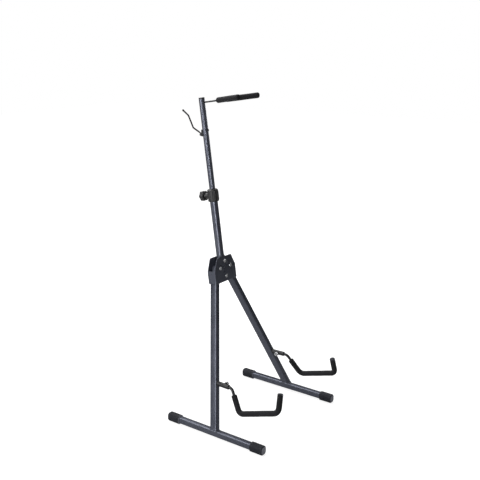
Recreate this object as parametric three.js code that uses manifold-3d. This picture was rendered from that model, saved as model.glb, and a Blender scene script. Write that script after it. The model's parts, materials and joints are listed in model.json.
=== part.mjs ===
// A folding floor stand for a large bowed string instrument.
// Two sheet steel plates hold the tops of two splayed legs and a leaning post. Each leg
// stands on a level foot and carries a padded cradle arm. A second tube slides in the post,
// and carries a padded fork for the neck and a hook for the bow.
// Millimetres, +Z up, the front is towards -Y, left and right are as seen from the front.

import * as THREE from 'three';
import { mergeVertices } from 'three/addons/utils/BufferGeometryUtils.js';
import Module from 'manifold-3d';

const wasm = await Module();
wasm.setup();

// Feet and their rubber caps
const footSpan = 413;
const footLength = 371;
const footTubeWidth = 18;
const footTubeHeight = 20;
const footTubeWall = 1.5;
const footTubeRadius = 3;
const capLength = 46;
const capSideWall = 4;
const capTopWall = 4.5;
const capSoleWall = 4.5;
const capEndWall = 4;
const capRadius = 7;
const capLipBevel = 1.2;
const capEndRound = 4;
const capEndTurnShares = [0.39, 0.76];
const capEndDish = 1;
const capRibCount = 4;
const capRibDepth = 0.7;
const capFit = 0.3;

// Legs: straight from the foot, with a slight kink where they enter the plates
const legWidth = 18;
const legDepth = 25;
const legWall = 1.5;
const legRadius = 2.5;
const kinkSpan = 87;
const kinkSetback = 121.6;
const kinkHeight = 435.3;
const kinkBendRadius = 60;
const pivotSpan = 52;
const weldGap = 0.3;

// Plates that hold the legs and the post
const postLean = THREE.MathUtils.degToRad(7.84);
const plateThickness = 2;
const plateClearance = 0.8;
const plateDrop = 1;
const plateHeight = 82;
const plateShoulderHeight = 42;
const plateTopWidth = 74;
const plateCornerRadius = 5;
const plateFoldRadius = 3;
const flangeClearance = 0.4;

// Bolts and nuts
const boltDiameter = 6;
const boltHeadDiameter = 11.5;
const boltHeadHeight = 3.4;
const boltSocketAcross = 4;
const boltSocketDepth = 1.8;
const boltHeadShares = [[0.5, 1], [0.85, 0.72], [1, 0.25]];
const nutAcross = 10;
const nutHeight = 6.5;
const nutShares = [[0.58, 0], [0.58, 0.7], [0.42, 0.8], [0.38, 1]];
const boltBeyondNut = 1.5;
const holeClearance = 0.3;
const seatGap = 0.3;
const postBoltHeights = [16, 66];
const sleeveWall = 1.2;

// Lower post and its clamp
const lowerPostDiameter = 25.4;
const lowerPostWall = 1.5;
const lowerPostBottom = 3;
const lowerPostTop = 292;
const plugHeadHeight = 2.5;
const plugDepth = 10;
const plugBevel = 1;
const clampDiameter = 35;
const clampBottom = 262;
const clampTop = 302;
const clampBevel = 2;
const clampScrewHeight = 280;
const clampBossDiameter = 17;
const clampBossReach = 25;
const clampRibCount = 7;
const clampRibSpreadShare = 0.58;
const clampRibSides = 6;
const clampRibDiameter = 2.4;
const heightScrewDiameter = 6;
const screwTipShare = 0.7;
const screwTipLength = 1;
const heightKnobDiameter = 34;
const heightKnobDepth = 17;
const heightKnobLobes = 6;
const heightKnobLobeDepth = 2.2;
const heightKnobNeckDiameter = 15;
const heightKnobNeck = 5;
const heightKnobBevel = 1.6;
const heightKnobNeckFlare = 1;
const boreInKnobShare = 0.7;

// Upper post
const upperPostDiameter = 19;
const upperPostWall = 1.2;
const upperPostBottom = 146;
const upperPostTop = 587;
const slideClearance = 0.3;
const bushLength = 36;
const bushLip = 2;
const bushBevel = 1;
const topCapHeight = 2.6;
const topPlugDepth = 28;
const topPlugBevel = 1;
const forkSlotRoundShare = 0.49;

// Neck fork
const forkWire = 5;
const forkDrop = 11;
const forkSpread = THREE.MathUtils.degToRad(16);
const forkPitch = THREE.MathUtils.degToRad(0.9);
const forkReach = 175;
const forkNeck = 2;
const forkHairpinSetback = 3.5;
const forkHairpinRoundShare = 0.98;
const forkFoamStart = 72;
const forkFoamDiameter = 17.5;
const forkFoamTip = 4;
const forkTipRoundShare = 0.45;
const roundCornerShare = 0.3;
const foamFit = 0.3;
const foamRound = 3;

// Bow hook
const hookDrop = 104;
const hookHeight = upperPostTop - hookDrop;
const hookWire = 4;
const hookBoltDiameter = 5;
const hookBoltHeadDiameter = 8.4;
const hookBoltHeadHeight = 2.6;
const hookSaddleHeight = 20;
const hookSaddleWidth = 15;
const hookSaddleBack = 3;
const hookBoltRise = 6;
const hookPinDrop = 6;
const hookPinDiameter = 4;
const hookSaddleWrap = 4;
const hookSaddleCorner = 4.5;
const hookEyeClearance = 0.6;
const hookEyeStartShare = 0.3;
const hookRise = 3.4;
const hookBendRadius = 5;
const hookLengths = [36, 42.4, 28.8];
const hookAngles = [26.6, 62.8, 34.6].map(THREE.MathUtils.degToRad);
const hookKnobDiameter = 8.8;
const hookKnobLength = 6;
const hookKnobBevel = 0.7;
const knurlCount = 12;
const knurlDepth = 0.5;

// Cradle arms
const socketHeight = 154;
const socketDiameter = 15;
const socketBore = 9.9;
const socketBevel = 1;
const socketLength = 44;
const socketBossDiameter = 10;
const socketBossHeight = 4;
const armRodDiameter = 9.3;
const armLean = THREE.MathUtils.degToRad(16);
const armSplay = THREE.MathUtils.degToRad(2.2);
const armInsert = 34;
const armReach = 56;
const armRearDrop = 67.8;
const armRearSetback = 44.5;
const armRunForward = 136.4;
const armRunRise = 43.7;
const armTipHeight = 54.4;
const armTipSetback = 4.3;
const armBendRadius = 19;
const armFoamDiameter = 18;
const armFoamStart = 12;
const armCapHeight = 4;
const armCapShares = [[1, 0], [1, 0.5], [0.9, 0.85], [0.73, 1]];
const lockScrewDiameter = 5;
const lockHeadDiameter = 12;
const lockHeadLength = 8;
const lockHeadBevel = 0.8;

// Facets
const roundSides = 24;
const smallSides = 12;
const wireSides = 10;
const foamSides = 14;
const cornerSteps = 3;
const bendSteps = 4;
const eyeSteps = 12;
const arcSteps = 6;
const cutOverrun = 2;
const mergeDistance = 1e-4;

const fullTurn = 2 * Math.PI;
const sides = [{ name: 'left', sign: -1 }, { name: 'right', sign: 1 }];

// Materials
function material(color, roughness, metalness) {
  return new THREE.MeshStandardMaterial({ color, roughness, metalness });
}
const paintedSteel = material(0x3a3d48, 0.42, 0.5);
const blackPaint = material(0x24262c, 0.45, 0.4);
const blackRubber = material(0x18181b, 0.85, 0);
const blackFoam = material(0x1b1b1e, 0.95, 0);
const blackPlastic = material(0x1a1a1c, 0.5, 0);
const zincSteel = material(0x9a9c9f, 0.35, 0.9);

// Solids: closed geometry with its faces pointing out, joined and cut by manifold
function signedVolume(geometry) {
  const position = geometry.attributes.position;
  const index = geometry.index;
  const count = index ? index.count : position.count;
  const corner = [new THREE.Vector3(), new THREE.Vector3(), new THREE.Vector3()];
  let volume = 0;
  for (let start = 0; start < count; start += 3) {
    corner.forEach((point, i) => {
      point.fromBufferAttribute(position, index ? index.getX(start + i) : start + i);
    });
    volume += corner[0].dot(corner[1].cross(corner[2])) / 6;
  }
  return volume;
}

function closed(geometry) {
  const bare = geometry.clone();
  bare.deleteAttribute('normal');
  bare.deleteAttribute('uv');
  const merged = mergeVertices(bare, mergeDistance);
  const kept = [];
  const index = merged.index.array;
  for (let start = 0; start < index.length; start += 3) {
    const [a, b, c] = index.subarray(start, start + 3);
    if (a !== b && b !== c && c !== a) kept.push(a, b, c);
  }
  merged.setIndex(kept);
  if (signedVolume(merged) < 0) {
    for (let start = 0; start < kept.length; start += 3) {
      [kept[start], kept[start + 1]] = [kept[start + 1], kept[start]];
    }
    merged.setIndex(kept);
  }
  return merged;
}

function solid(geometry) {
  const shape = closed(geometry);
  return new wasm.Manifold(new wasm.Mesh({
    numProp: 3,
    vertProperties: new Float32Array(shape.attributes.position.array),
    triVerts: new Uint32Array(shape.index.array),
  }));
}

function geometryOf(manifold) {
  const mesh = manifold.getMesh();
  const geometry = new THREE.BufferGeometry();
  geometry.setAttribute('position', new THREE.BufferAttribute(mesh.vertProperties, 3));
  geometry.setIndex(new THREE.BufferAttribute(mesh.triVerts, 1));
  return geometry;
}

function cut(base, ...tools) {
  return geometryOf(tools.reduce((left, tool) => left.subtract(solid(tool)), solid(base)));
}

function join(...pieces) {
  return geometryOf(pieces.map(solid).reduce((left, piece) => left.add(piece)));
}

function common(first, second) {
  return geometryOf(solid(first).intersect(solid(second)));
}

// Outlines
function circlePoints(radius, count) {
  return Array.from({ length: count }, (_, i) => {
    const angle = fullTurn * (i + 0.5) / count;
    return new THREE.Vector2(radius * Math.cos(angle), radius * Math.sin(angle));
  });
}

function roundedRectPoints(width, height, radius, steps = cornerSteps) {
  const points = [];
  [[1, 1], [-1, 1], [-1, -1], [1, -1]].forEach(([signX, signY], quarter) => {
    for (let step = 0; step <= steps; step++) {
      const angle = (quarter + step / steps) * fullTurn / 4;
      points.push(new THREE.Vector2(
        signX * (width / 2 - radius) + radius * Math.cos(angle),
        signY * (height / 2 - radius) + radius * Math.sin(angle),
      ));
    }
  });
  return points;
}

function shapeOf(points, ...holes) {
  const shape = new THREE.Shape(points);
  shape.holes = holes.map((hole) => new THREE.Path(hole));
  return shape;
}

// Turned and drawn forms, along +Z
function extruded(shape, height, bottom = 0) {
  const geometry = new THREE.ExtrudeGeometry(shape, {
    depth: height, bevelEnabled: false, curveSegments: arcSteps,
  });
  return geometry.translate(0, 0, bottom);
}

function turned(profile, count = roundSides) {
  const points = profile.map(([radius, height]) => new THREE.Vector2(radius, height));
  return closed(new THREE.LatheGeometry(points, count)).rotateX(fullTurn / 4);
}

function rod(radius, bottom, top, count = smallSides) {
  return turned([[0, bottom], [radius, bottom], [radius, top], [0, top]], count);
}

function sleeve(outer, inner, bottom, top, count = roundSides) {
  const ring = [[inner, bottom], [outer, bottom], [outer, top], [inner, top], [inner, bottom]];
  return turned(ring, count);
}

function hexRod(across, bottom, top) {
  const corner = across / Math.sqrt(3);
  return extruded(shapeOf(circlePoints(corner, 6)), top - bottom, bottom);
}

// Turns a form made along +Z so that its +Z points to the back, +Y
function towardsBack(geometry) {
  return geometry.rotateX(-fullTurn / 4);
}

// Joins rings of points into one skin, closed by a flat fan at each end
function loft(rings) {
  const count = rings[0].length;
  const points = rings.flat();
  const faces = [];
  for (let ring = 0; ring < rings.length - 1; ring++) {
    for (let i = 0; i < count; i++) {
      const a = ring * count + i;
      const b = ring * count + (i + 1) % count;
      faces.push(a, b, b + count, a, b + count, a + count);
    }
  }
  [[0, 1], [rings.length - 1, -1]].forEach(([ring, turn]) => {
    const middle = points.length;
    const sum = rings[ring].reduce((total, p) => total.add(p), new THREE.Vector3());
    points.push(sum.divideScalar(count));
    for (let i = 0; i < count; i++) {
      const a = ring * count + i;
      const b = ring * count + (i + 1) % count;
      faces.push(middle, turn > 0 ? b : a, turn > 0 ? a : b);
    }
  });
  const geometry = new THREE.BufferGeometry().setFromPoints(points);
  geometry.setIndex(faces);
  return closed(geometry);
}

// A path with one ring of a tube at each station
class StationPath extends THREE.Curve {
  constructor(stations, tangents) {
    super();
    this.stations = stations;
    this.tangents = tangents;
  }

  between(list, t, target) {
    const place = t * (list.length - 1);
    const low = Math.min(Math.floor(place), list.length - 2);
    return target.lerpVectors(list[low], list[low + 1], place - low);
  }

  getPoint(t, target = new THREE.Vector3()) {
    return this.between(this.stations, t, target);
  }

  getTangent(t, target = new THREE.Vector3()) {
    return this.between(this.tangents, t, target).normalize();
  }

  getUtoTmapping(u) {
    return u;
  }
}

// Straight runs between the corners, with a round bend at each inner one
function bentPath(corners, radius) {
  const directions = corners.slice(1).map((p, i) => p.clone().sub(corners[i]).normalize());
  const stations = [corners[0]];
  const tangents = [directions[0]];
  corners.slice(1, -1).forEach((corner, i) => {
    const [before, after] = [directions[i], directions[i + 1]];
    const angle = before.angleTo(after);
    const start = corner.clone().addScaledVector(before, -radius * Math.tan(angle / 2));
    const inward = after.clone().addScaledVector(before, -before.dot(after)).normalize();
    const centre = start.clone().addScaledVector(inward, radius);
    for (let step = 0; step <= bendSteps; step++) {
      const turn = angle * step / bendSteps;
      stations.push(centre.clone().addScaledVector(before, radius * Math.sin(turn))
        .addScaledVector(inward, -radius * Math.cos(turn)));
      tangents.push(before.clone().multiplyScalar(Math.cos(turn))
        .addScaledVector(inward, Math.sin(turn)));
    }
  });
  stations.push(corners[corners.length - 1]);
  tangents.push(directions[directions.length - 1]);
  return new StationPath(stations, tangents);
}

function swept(shape, path) {
  return closed(new THREE.ExtrudeGeometry(shape, {
    steps: path.stations.length - 1, extrudePath: path, bevelEnabled: false,
  }));
}

// Named meshes
function mesh(name, geometry, finish) {
  const shape = closed(geometry).toNonIndexed();
  shape.computeVertexNormals();
  const piece = new THREE.Mesh(shape, finish);
  piece.name = name;
  return piece;
}

// Places that the pieces share
const capWidth = footTubeWidth + 2 * capSideWall;
const capHeight = footTubeHeight + capSoleWall + capTopWall;
const footTop = capSoleWall + footTubeHeight;
const footTubeLength = footLength - 2 * capEndWall;
const postUp = new THREE.Vector3(0, Math.sin(postLean), Math.cos(postLean));
const sideways = new THREE.Vector3(1, 0, 0);

function legLine(sign) {
  const base = new THREE.Vector3(sign * footSpan / 2, 0, footTop + weldGap);
  const kink = new THREE.Vector3(sign * kinkSpan / 2, kinkSetback, kinkHeight);
  const lower = kink.clone().sub(base).normalize();
  const splay = Math.asin(Math.abs(lower.x));
  const upper = postUp.clone().multiplyScalar(Math.cos(splay))
    .addScaledVector(sideways, -sign * Math.sin(splay));
  const toPivot = (kinkSpan - pivotSpan) / 2 / Math.sin(splay);
  const pivot = kink.clone().addScaledVector(upper, toPivot);
  return { base, kink, lower, upper, splay, toPivot, pivot };
}
const legShape = legLine(1);
const legLean = Math.atan2(legShape.lower.y, legShape.lower.z);
const legFaceBack = legDepth / 2 / Math.cos(legLean);
const pivotUp = legShape.toPivot * Math.cos(legShape.splay);
const plateGap = legDepth + 2 * plateClearance;
const plateFront = -plateGap / 2 - plateThickness;
const plateBack = plateGap / 2 + plateThickness;

// Feet
function footTube() {
  const outer = roundedRectPoints(footTubeWidth, footTubeHeight, footTubeRadius);
  const inner = roundedRectPoints(
    footTubeWidth - 2 * footTubeWall, footTubeHeight - 2 * footTubeWall,
    footTubeRadius - footTubeWall,
  );
  const tube = extruded(shapeOf(outer, inner), footTubeLength, -footTubeLength / 2);
  return tube.rotateX(fullTurn / 4).translate(0, 0, capSoleWall + footTubeHeight / 2);
}

// One ring of a cap's skin, drawn in by inset; the sole stays flat when level is true
function capRing(along, inset, level) {
  const points = roundedRectPoints(
    capWidth - 2 * inset, capHeight - 2 * inset, capRadius - Math.min(inset, capRadius / 2),
  );
  const flatten = level ? capHeight / (capHeight - 2 * inset) : 1;
  return points.map(({ x, y }) => new THREE.Vector3(x, along, y < 0 ? y * flatten : y));
}

function footCap() {
  const rings = [capRing(0, capLipBevel, true), capRing(capLipBevel, 0, true)];
  const ribbed = capLength - capEndRound - 2 * capLipBevel;
  const pitch = ribbed / (capRibCount + 1);
  for (let rib = 1; rib <= capRibCount; rib++) {
    const middle = capLipBevel + rib * pitch;
    rings.push(capRing(middle - pitch / 6, 0, true));
    rings.push(capRing(middle, capRibDepth, true));
    rings.push(capRing(middle + pitch / 6, 0, true));
  }
  const shoulder = capLength - capEndRound;
  rings.push(capRing(shoulder, 0, true));
  capEndTurnShares.forEach((share) => {
    const angle = share * fullTurn / 4;
    const inset = capEndRound * (1 - Math.cos(angle));
    rings.push(capRing(shoulder + capEndRound * Math.sin(angle), inset, false));
  });
  rings.push(capRing(capLength, capEndRound, false));
  rings.push(capRing(capLength - capEndDish, capEndRound + capEndDish, false));
  const socket = extruded(shapeOf(roundedRectPoints(
    footTubeWidth + 2 * capFit, footTubeHeight + 2 * capFit, footTubeRadius,
  )), capLength - capEndWall + capFit + cutOverrun, -cutOverrun);
  socket.rotateX(-fullTurn / 4);
  return cut(loft(rings), socket).translate(0, 0, capHeight / 2);
}

function foot({ name, sign }) {
  const group = new THREE.Group();
  group.position.x = sign * footSpan / 2;
  group.add(mesh(`foot_tube_${name}`, footTube(), paintedSteel));
  const front = mesh(`foot_cap_front_${name}`, footCap(), blackRubber);
  front.position.y = -(footLength / 2 - capLength);
  front.rotation.z = fullTurn / 2;
  const back = mesh(`foot_cap_back_${name}`, footCap(), blackRubber);
  back.position.y = footLength / 2 - capLength;
  group.add(front, back);
  return group;
}

// Legs
// A leg is lofted through five sections: cut level on the foot, and turned through the kink
function legSections({ sign }, width, depth, radius, overrun) {
  const { base, kink, lower, upper, toPivot, pivot } = legLine(sign);
  const outline = roundedRectPoints(width, depth, radius);
  const frame = (direction) => {
    const back = new THREE.Vector3().crossVectors(direction, sideways).normalize();
    back.multiplyScalar(Math.sign(back.y));
    return { across: new THREE.Vector3().crossVectors(back, direction), back };
  };
  const section = (origin, direction) => {
    const { across, back } = frame(direction);
    return outline.map(({ x, y }) => origin.clone()
      .addScaledVector(across, x).addScaledVector(back, y));
  };
  const onFoot = section(base, lower).map((point) => {
    const climb = (base.z - overrun - point.z) / lower.z;
    return point.addScaledVector(lower, climb);
  });
  const inset = kinkBendRadius * Math.tan(lower.angleTo(upper) / 2);
  const bendStart = kink.clone().addScaledVector(lower, -inset);
  const bendEnd = kink.clone().addScaledVector(upper, Math.min(inset, toPivot / 2));
  const bendMiddle = bendStart.clone().add(bendEnd).add(kink).add(kink).divideScalar(4);
  const halfway = lower.clone().add(upper).normalize();
  const top = pivot.clone().addScaledVector(upper, legWidth / 2 + overrun);
  return [
    onFoot, section(bendStart, lower), section(bendMiddle, halfway),
    section(bendEnd, upper), section(top, upper),
  ];
}

function pivotFrame({ sign }) {
  const { upper, pivot } = legLine(sign);
  const back = new THREE.Vector3().crossVectors(postUp, sideways).normalize();
  const across = new THREE.Vector3().crossVectors(back, upper);
  return new THREE.Matrix4().makeBasis(across, back, upper).setPosition(pivot);
}

function legTube(side) {
  const outer = loft(legSections(side, legWidth, legDepth, legRadius, 0));
  const inner = loft(legSections(
    side, legWidth - 2 * legWall, legDepth - 2 * legWall, legRadius - legWall, cutOverrun,
  ));
  // The top is rounded about the pivot
  const reach = legWidth / 2 + cutOverrun;
  const crown = new THREE.Shape();
  crown.moveTo(-reach, 0);
  crown.lineTo(-legWidth / 2, 0);
  crown.absarc(0, 0, legWidth / 2, fullTurn / 2, 0, true);
  crown.lineTo(reach, 0);
  crown.lineTo(reach, reach);
  crown.lineTo(-reach, reach);
  const crownCut = extruded(crown, legDepth + 2 * cutOverrun, -legDepth / 2 - cutOverrun)
    .rotateX(fullTurn / 4);
  const holeRadius = boltDiameter / 2 + holeClearance;
  const hole = towardsBack(rod(holeRadius, -legDepth, legDepth));
  const place = pivotFrame(side);
  return cut(outer, inner, crownCut.applyMatrix4(place), hole.applyMatrix4(place));
}

function pivotSleeve(side) {
  const bore = boltDiameter / 2 + holeClearance;
  const half = legDepth / 2 - legWall - seatGap;
  const tube = towardsBack(sleeve(bore + sleeveWall, bore, -half, half, smallSides));
  return tube.applyMatrix4(pivotFrame(side));
}

// Plates, in the post's frame: z up the post, y back, the origin level with the kinks
function plateOutline() {
  const half = plateHalfWidth();
  const bottom = -plateDrop;
  const corners = [
    [half, bottom], [half, bottom + plateShoulderHeight],
    [plateTopWidth / 2, bottom + plateHeight], [-plateTopWidth / 2, bottom + plateHeight],
    [-half, bottom + plateShoulderHeight], [-half, bottom],
  ].map(([x, z]) => new THREE.Vector2(x, z));
  const shape = new THREE.Shape();
  corners.forEach((corner, i) => {
    const before = corners[(i + corners.length - 1) % corners.length];
    const after = corners[(i + 1) % corners.length];
    const enter = corner.clone().add(
      before.clone().sub(corner).setLength(plateCornerRadius));
    const leave = corner.clone().add(
      after.clone().sub(corner).setLength(plateCornerRadius));
    if (i === 0) shape.moveTo(enter.x, enter.y);
    else shape.lineTo(enter.x, enter.y);
    shape.quadraticCurveTo(corner.x, corner.y, leave.x, leave.y);
  });
  return shape;
}

function plateHalfWidth() {
  const slope = Math.tan(legShape.splay);
  const legHalf = legWidth / 2 / Math.cos(legShape.splay);
  return kinkSpan / 2 + plateDrop * slope + legHalf + flangeClearance + plateThickness;
}

function plateSheet(front, back) {
  const sheet = new THREE.ExtrudeGeometry(plateOutline(), {
    depth: back - front, bevelEnabled: false, curveSegments: cornerSteps,
  });
  return sheet.rotateX(fullTurn / 4).translate(0, back, 0);
}

function plateHoles() {
  const radius = boltDiameter / 2 + holeClearance;
  return boltPlaces().map(({ x, z }) => {
    const hole = rod(radius, plateFront - cutOverrun, plateBack + cutOverrun);
    return towardsBack(hole).translate(x, 0, z);
  });
}

function boltPlaces() {
  return [
    { name: 'pivot_left', x: -pivotSpan / 2, z: pivotUp },
    { name: 'pivot_right', x: pivotSpan / 2, z: pivotUp },
    { name: 'post_lower', x: 0, z: postBoltHeights[0] },
    { name: 'post_upper', x: 0, z: postBoltHeights[1] },
  ];
}

// The front plate is folded: its sides turn back and stop the legs
function hubChannel() {
  const half = plateHalfWidth();
  const depth = plateGap + plateThickness - seatGap;
  const bottom = -plateDrop - cutOverrun;
  const block = (halfWidth, front, back, radius) => {
    const outline = roundedRectPoints(2 * halfWidth, back - front, radius);
    return extruded(shapeOf(outline), plateHeight + 2 * cutOverrun, bottom)
      .translate(0, (front + back) / 2, 0);
  };
  const shell = cut(
    block(half, plateFront, plateFront + depth + plateFoldRadius, plateFoldRadius),
    block(half - plateThickness, -plateGap / 2, plateFront + depth + 2 * plateFoldRadius,
      plateFoldRadius - plateThickness / 2),
  );
  const outline = plateSheet(plateFront, plateFront + depth);
  return cut(common(shell, outline), ...plateHoles());
}

function hubBackPlate() {
  return cut(plateSheet(plateGap / 2, plateBack), ...plateHoles());
}

// A button head bolt along +Y with a hexagon socket, head at the front
function bolt(diameter, headDiameter, headHeight, seat, end) {
  const radius = headDiameter / 2;
  const head = -headHeight;
  const profile = [
    [0, head], ...boltHeadShares.map(([out, up]) => [radius * out, head * up]),
    [radius, 0], [diameter / 2, 0], [diameter / 2, end - seat], [0, end - seat],
  ];
  const key = hexRod(boltSocketAcross * headDiameter / boltHeadDiameter,
    head - cutOverrun, head + boltSocketDepth * headHeight / boltHeadHeight);
  return towardsBack(cut(turned(profile, smallSides), key)).translate(0, seat, 0);
}

function nut(diameter, seat) {
  const across = nutAcross * diameter / boltDiameter;
  const height = nutHeight * diameter / boltDiameter;
  const profile = nutShares.map(([out, up]) => [across * out, height * up]);
  const crown = turned([[0, 0], ...profile, [0, height]], smallSides);
  const body = common(hexRod(across, 0, height), crown);
  const bore = rod(diameter / 2 + holeClearance, -cutOverrun, height + cutOverrun);
  return towardsBack(cut(body, bore)).translate(0, seat, 0);
}

function hubFasteners() {
  const group = new THREE.Group();
  const front = plateFront - seatGap;
  const back = plateBack + seatGap;
  boltPlaces().forEach(({ name, x, z }) => {
    const end = back + nutHeight + boltBeyondNut;
    const shank = bolt(boltDiameter, boltHeadDiameter, boltHeadHeight, front, end);
    const pair = [
      mesh(`bolt_${name}`, shank, zincSteel),
      mesh(`nut_${name}`, nut(boltDiameter, back), zincSteel),
    ];
    pair.forEach((piece) => piece.position.set(x, 0, z));
    group.add(...pair);
  });
  return group;
}

// Lower post
function lowerPostTube() {
  const outer = lowerPostDiameter / 2;
  const tube = sleeve(outer, outer - lowerPostWall, lowerPostBottom, lowerPostTop);
  const hole = boltDiameter / 2 + holeClearance;
  const boltHoles = postBoltHeights.map((height) => towardsBack(
    rod(hole, -lowerPostDiameter, lowerPostDiameter)).translate(0, 0, height));
  const screwHole = towardsBack(rod(heightScrewDiameter / 2 + holeClearance, 0, outer * 2))
    .translate(0, 0, clampScrewHeight);
  return cut(tube, ...boltHoles, screwHole);
}

function lowerPostPlug() {
  const outer = lowerPostDiameter / 2;
  const inner = outer - lowerPostWall - slideClearance;
  const seat = lowerPostBottom - seatGap;
  return turned([
    [0, seat - plugHeadHeight], [outer - plugBevel, seat - plugHeadHeight],
    [outer, seat - plugHeadHeight + plugBevel],
    [outer, seat], [inner, seat], [inner, seat + plugDepth], [0, seat + plugDepth],
  ]);
}

function clampCollar() {
  const outer = clampDiameter / 2;
  const lowerBore = lowerPostDiameter / 2 + slideClearance;
  const upperBore = upperPostDiameter / 2 + slideClearance;
  const step = lowerPostTop + seatGap;
  const body = turned([
    [lowerBore, clampBottom], [outer - clampBevel, clampBottom],
    [outer, clampBottom + clampBevel], [outer, clampTop - 2 * clampBevel],
    [outer - clampBevel, clampTop - clampBevel / 2], [outer - 2 * clampBevel, clampTop],
    [upperBore, clampTop], [upperBore, step], [lowerBore, step], [lowerBore, clampBottom],
  ]);
  const ribs = Array.from({ length: clampRibCount }, (_, i) => {
    const place = (i - (clampRibCount - 1) / 2) / clampRibCount * clampRibSpreadShare;
    const angle = fullTurn * place;
    return rod(clampRibDiameter / 2, clampBottom + 2 * clampBevel, clampTop - 3 * clampBevel,
      clampRibSides).translate(outer * Math.sin(angle), -outer * Math.cos(angle), 0);
  });
  const boss = towardsBack(rod(clampBossDiameter / 2, upperBore + 2 * slideClearance,
    clampBossReach)).translate(0, 0, clampScrewHeight);
  const bore = rod(lowerBore, clampBottom - cutOverrun, step, roundSides);
  const screwHole = towardsBack(rod(heightScrewDiameter / 2 + holeClearance,
    upperPostDiameter / 2, clampBossReach + cutOverrun)).translate(0, 0, clampScrewHeight);
  return cut(join(body, boss, ...ribs), bore, screwHole);
}

// The clamp screw and knob, along +Y from the middle of the post
function heightScrew() {
  const tip = upperPostDiameter / 2 + seatGap;
  const end = clampBossReach + seatGap + heightKnobNeck + heightKnobDepth * boreInKnobShare;
  const radius = heightScrewDiameter / 2;
  return towardsBack(turned([
    [0, tip], [radius * screwTipShare, tip], [radius, tip + screwTipLength],
    [radius, end], [0, end],
  ], smallSides));
}

function lobedOutline(diameter, lobes, depth, steps) {
  return Array.from({ length: lobes * steps }, (_, i) => {
    const angle = fullTurn * i / (lobes * steps);
    const radius = diameter / 2 - depth * (1 - Math.cos(lobes * angle)) / 2;
    return new THREE.Vector2(radius * Math.cos(angle), radius * Math.sin(angle));
  });
}

function heightKnob() {
  const seat = clampBossReach + seatGap;
  const outline = lobedOutline(heightKnobDiameter - 2 * heightKnobBevel, heightKnobLobes,
    heightKnobLobeDepth, 6);
  const grip = new THREE.ExtrudeGeometry(shapeOf(outline), {
    depth: heightKnobDepth - 2 * heightKnobBevel, bevelThickness: heightKnobBevel,
    bevelSize: heightKnobBevel, bevelSegments: 2,
  }).translate(0, 0, seat + heightKnobNeck + heightKnobBevel);
  const neckTop = seat + heightKnobNeck + heightKnobNeckFlare;
  const neck = turned([
    [0, seat], [heightKnobNeckDiameter / 2, seat],
    [heightKnobNeckDiameter / 2 + heightKnobNeckFlare, neckTop], [0, neckTop],
  ], smallSides);
  const bore = rod(heightScrewDiameter / 2 + holeClearance, seat - cutOverrun,
    seat + heightKnobNeck + heightKnobDepth * boreInKnobShare + seatGap);
  return towardsBack(cut(join(grip, neck), bore));
}

function heightClampScrew() {
  const group = new THREE.Group();
  group.position.z = clampScrewHeight;
  group.add(
    mesh('height_screw', heightScrew(), zincSteel),
    mesh('height_knob', heightKnob(), blackPlastic),
  );
  return group;
}

// Upper post
const forkHeight = upperPostTop - forkDrop;
const forkHalfNeck = forkWire / 2 + holeClearance;

function upperPostTube() {
  const outer = upperPostDiameter / 2;
  const tube = sleeve(outer, outer - upperPostWall, upperPostBottom, upperPostTop);
  const hookHole = towardsBack(rod(hookBoltDiameter / 2 + holeClearance, -outer * 2, outer * 2))
    .translate(0, 0, hookHeight + hookBoltRise);
  return cut(tube, forkSlot(0), hookHole);
}

// The slot that the two prongs of the fork leave through, side by side
function forkSlot(back) {
  const height = forkWire + 2 * holeClearance;
  const width = 2 * forkHalfNeck + forkWire + 2 * holeClearance;
  const outline = roundedRectPoints(width, height, height * forkSlotRoundShare);
  const slot = extruded(shapeOf(outline), back + upperPostDiameter, -upperPostDiameter);
  return towardsBack(slot).translate(0, 0, forkHeight);
}

function upperPostBush() {
  const outer = lowerPostDiameter / 2 - lowerPostWall - slideClearance;
  const inner = upperPostDiameter / 2 + slideClearance;
  const bottom = upperPostBottom - seatGap;
  const lip = upperPostDiameter / 2 - upperPostWall - slideClearance;
  return turned([
    [lip, bottom - bushLip], [outer - bushBevel, bottom - bushLip],
    [outer, bottom - bushLip + bushBevel], [outer, bottom + bushLength],
    [inner, bottom + bushLength], [inner, bottom], [lip, bottom], [lip, bottom - bushLip],
  ]);
}

function topPlug() {
  const outer = upperPostDiameter / 2;
  const inner = outer - upperPostWall - slideClearance;
  const seat = upperPostTop + seatGap;
  const body = turned([
    [0, seat - topPlugDepth], [inner - topPlugBevel, seat - topPlugDepth],
    [inner, seat - topPlugDepth + topPlugBevel], [inner, seat], [outer, seat],
    [outer, seat + topCapHeight - topPlugBevel], [outer - topPlugBevel, seat + topCapHeight],
    [0, seat + topCapHeight],
  ]);
  return cut(body, forkSlot(forkHairpinSetback + forkWire / 2 + holeClearance));
}

// The fork is one wire: a hairpin in the plug, and two prongs that part before the post
function forkPoint(sign, along) {
  return new THREE.Vector3(
    sign * (forkHalfNeck + along * Math.sin(forkSpread)),
    -upperPostDiameter / 2 - forkNeck - along * Math.cos(forkSpread) * Math.cos(forkPitch),
    forkHeight + along * Math.sin(forkPitch),
  );
}

function forkWireForm() {
  const hairpin = (sign) => new THREE.Vector3(
    sign * forkHalfNeck, forkHairpinSetback, forkHeight);
  const prong = (sign) => [forkPoint(sign, forkReach), forkPoint(sign, 0), hairpin(sign)];
  const corners = [...prong(1), ...prong(-1).reverse()];
  const path = bentPath(corners, forkHalfNeck * forkHairpinRoundShare);
  return swept(shapeOf(circlePoints(forkWire / 2, wireSides)), path);
}

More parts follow.
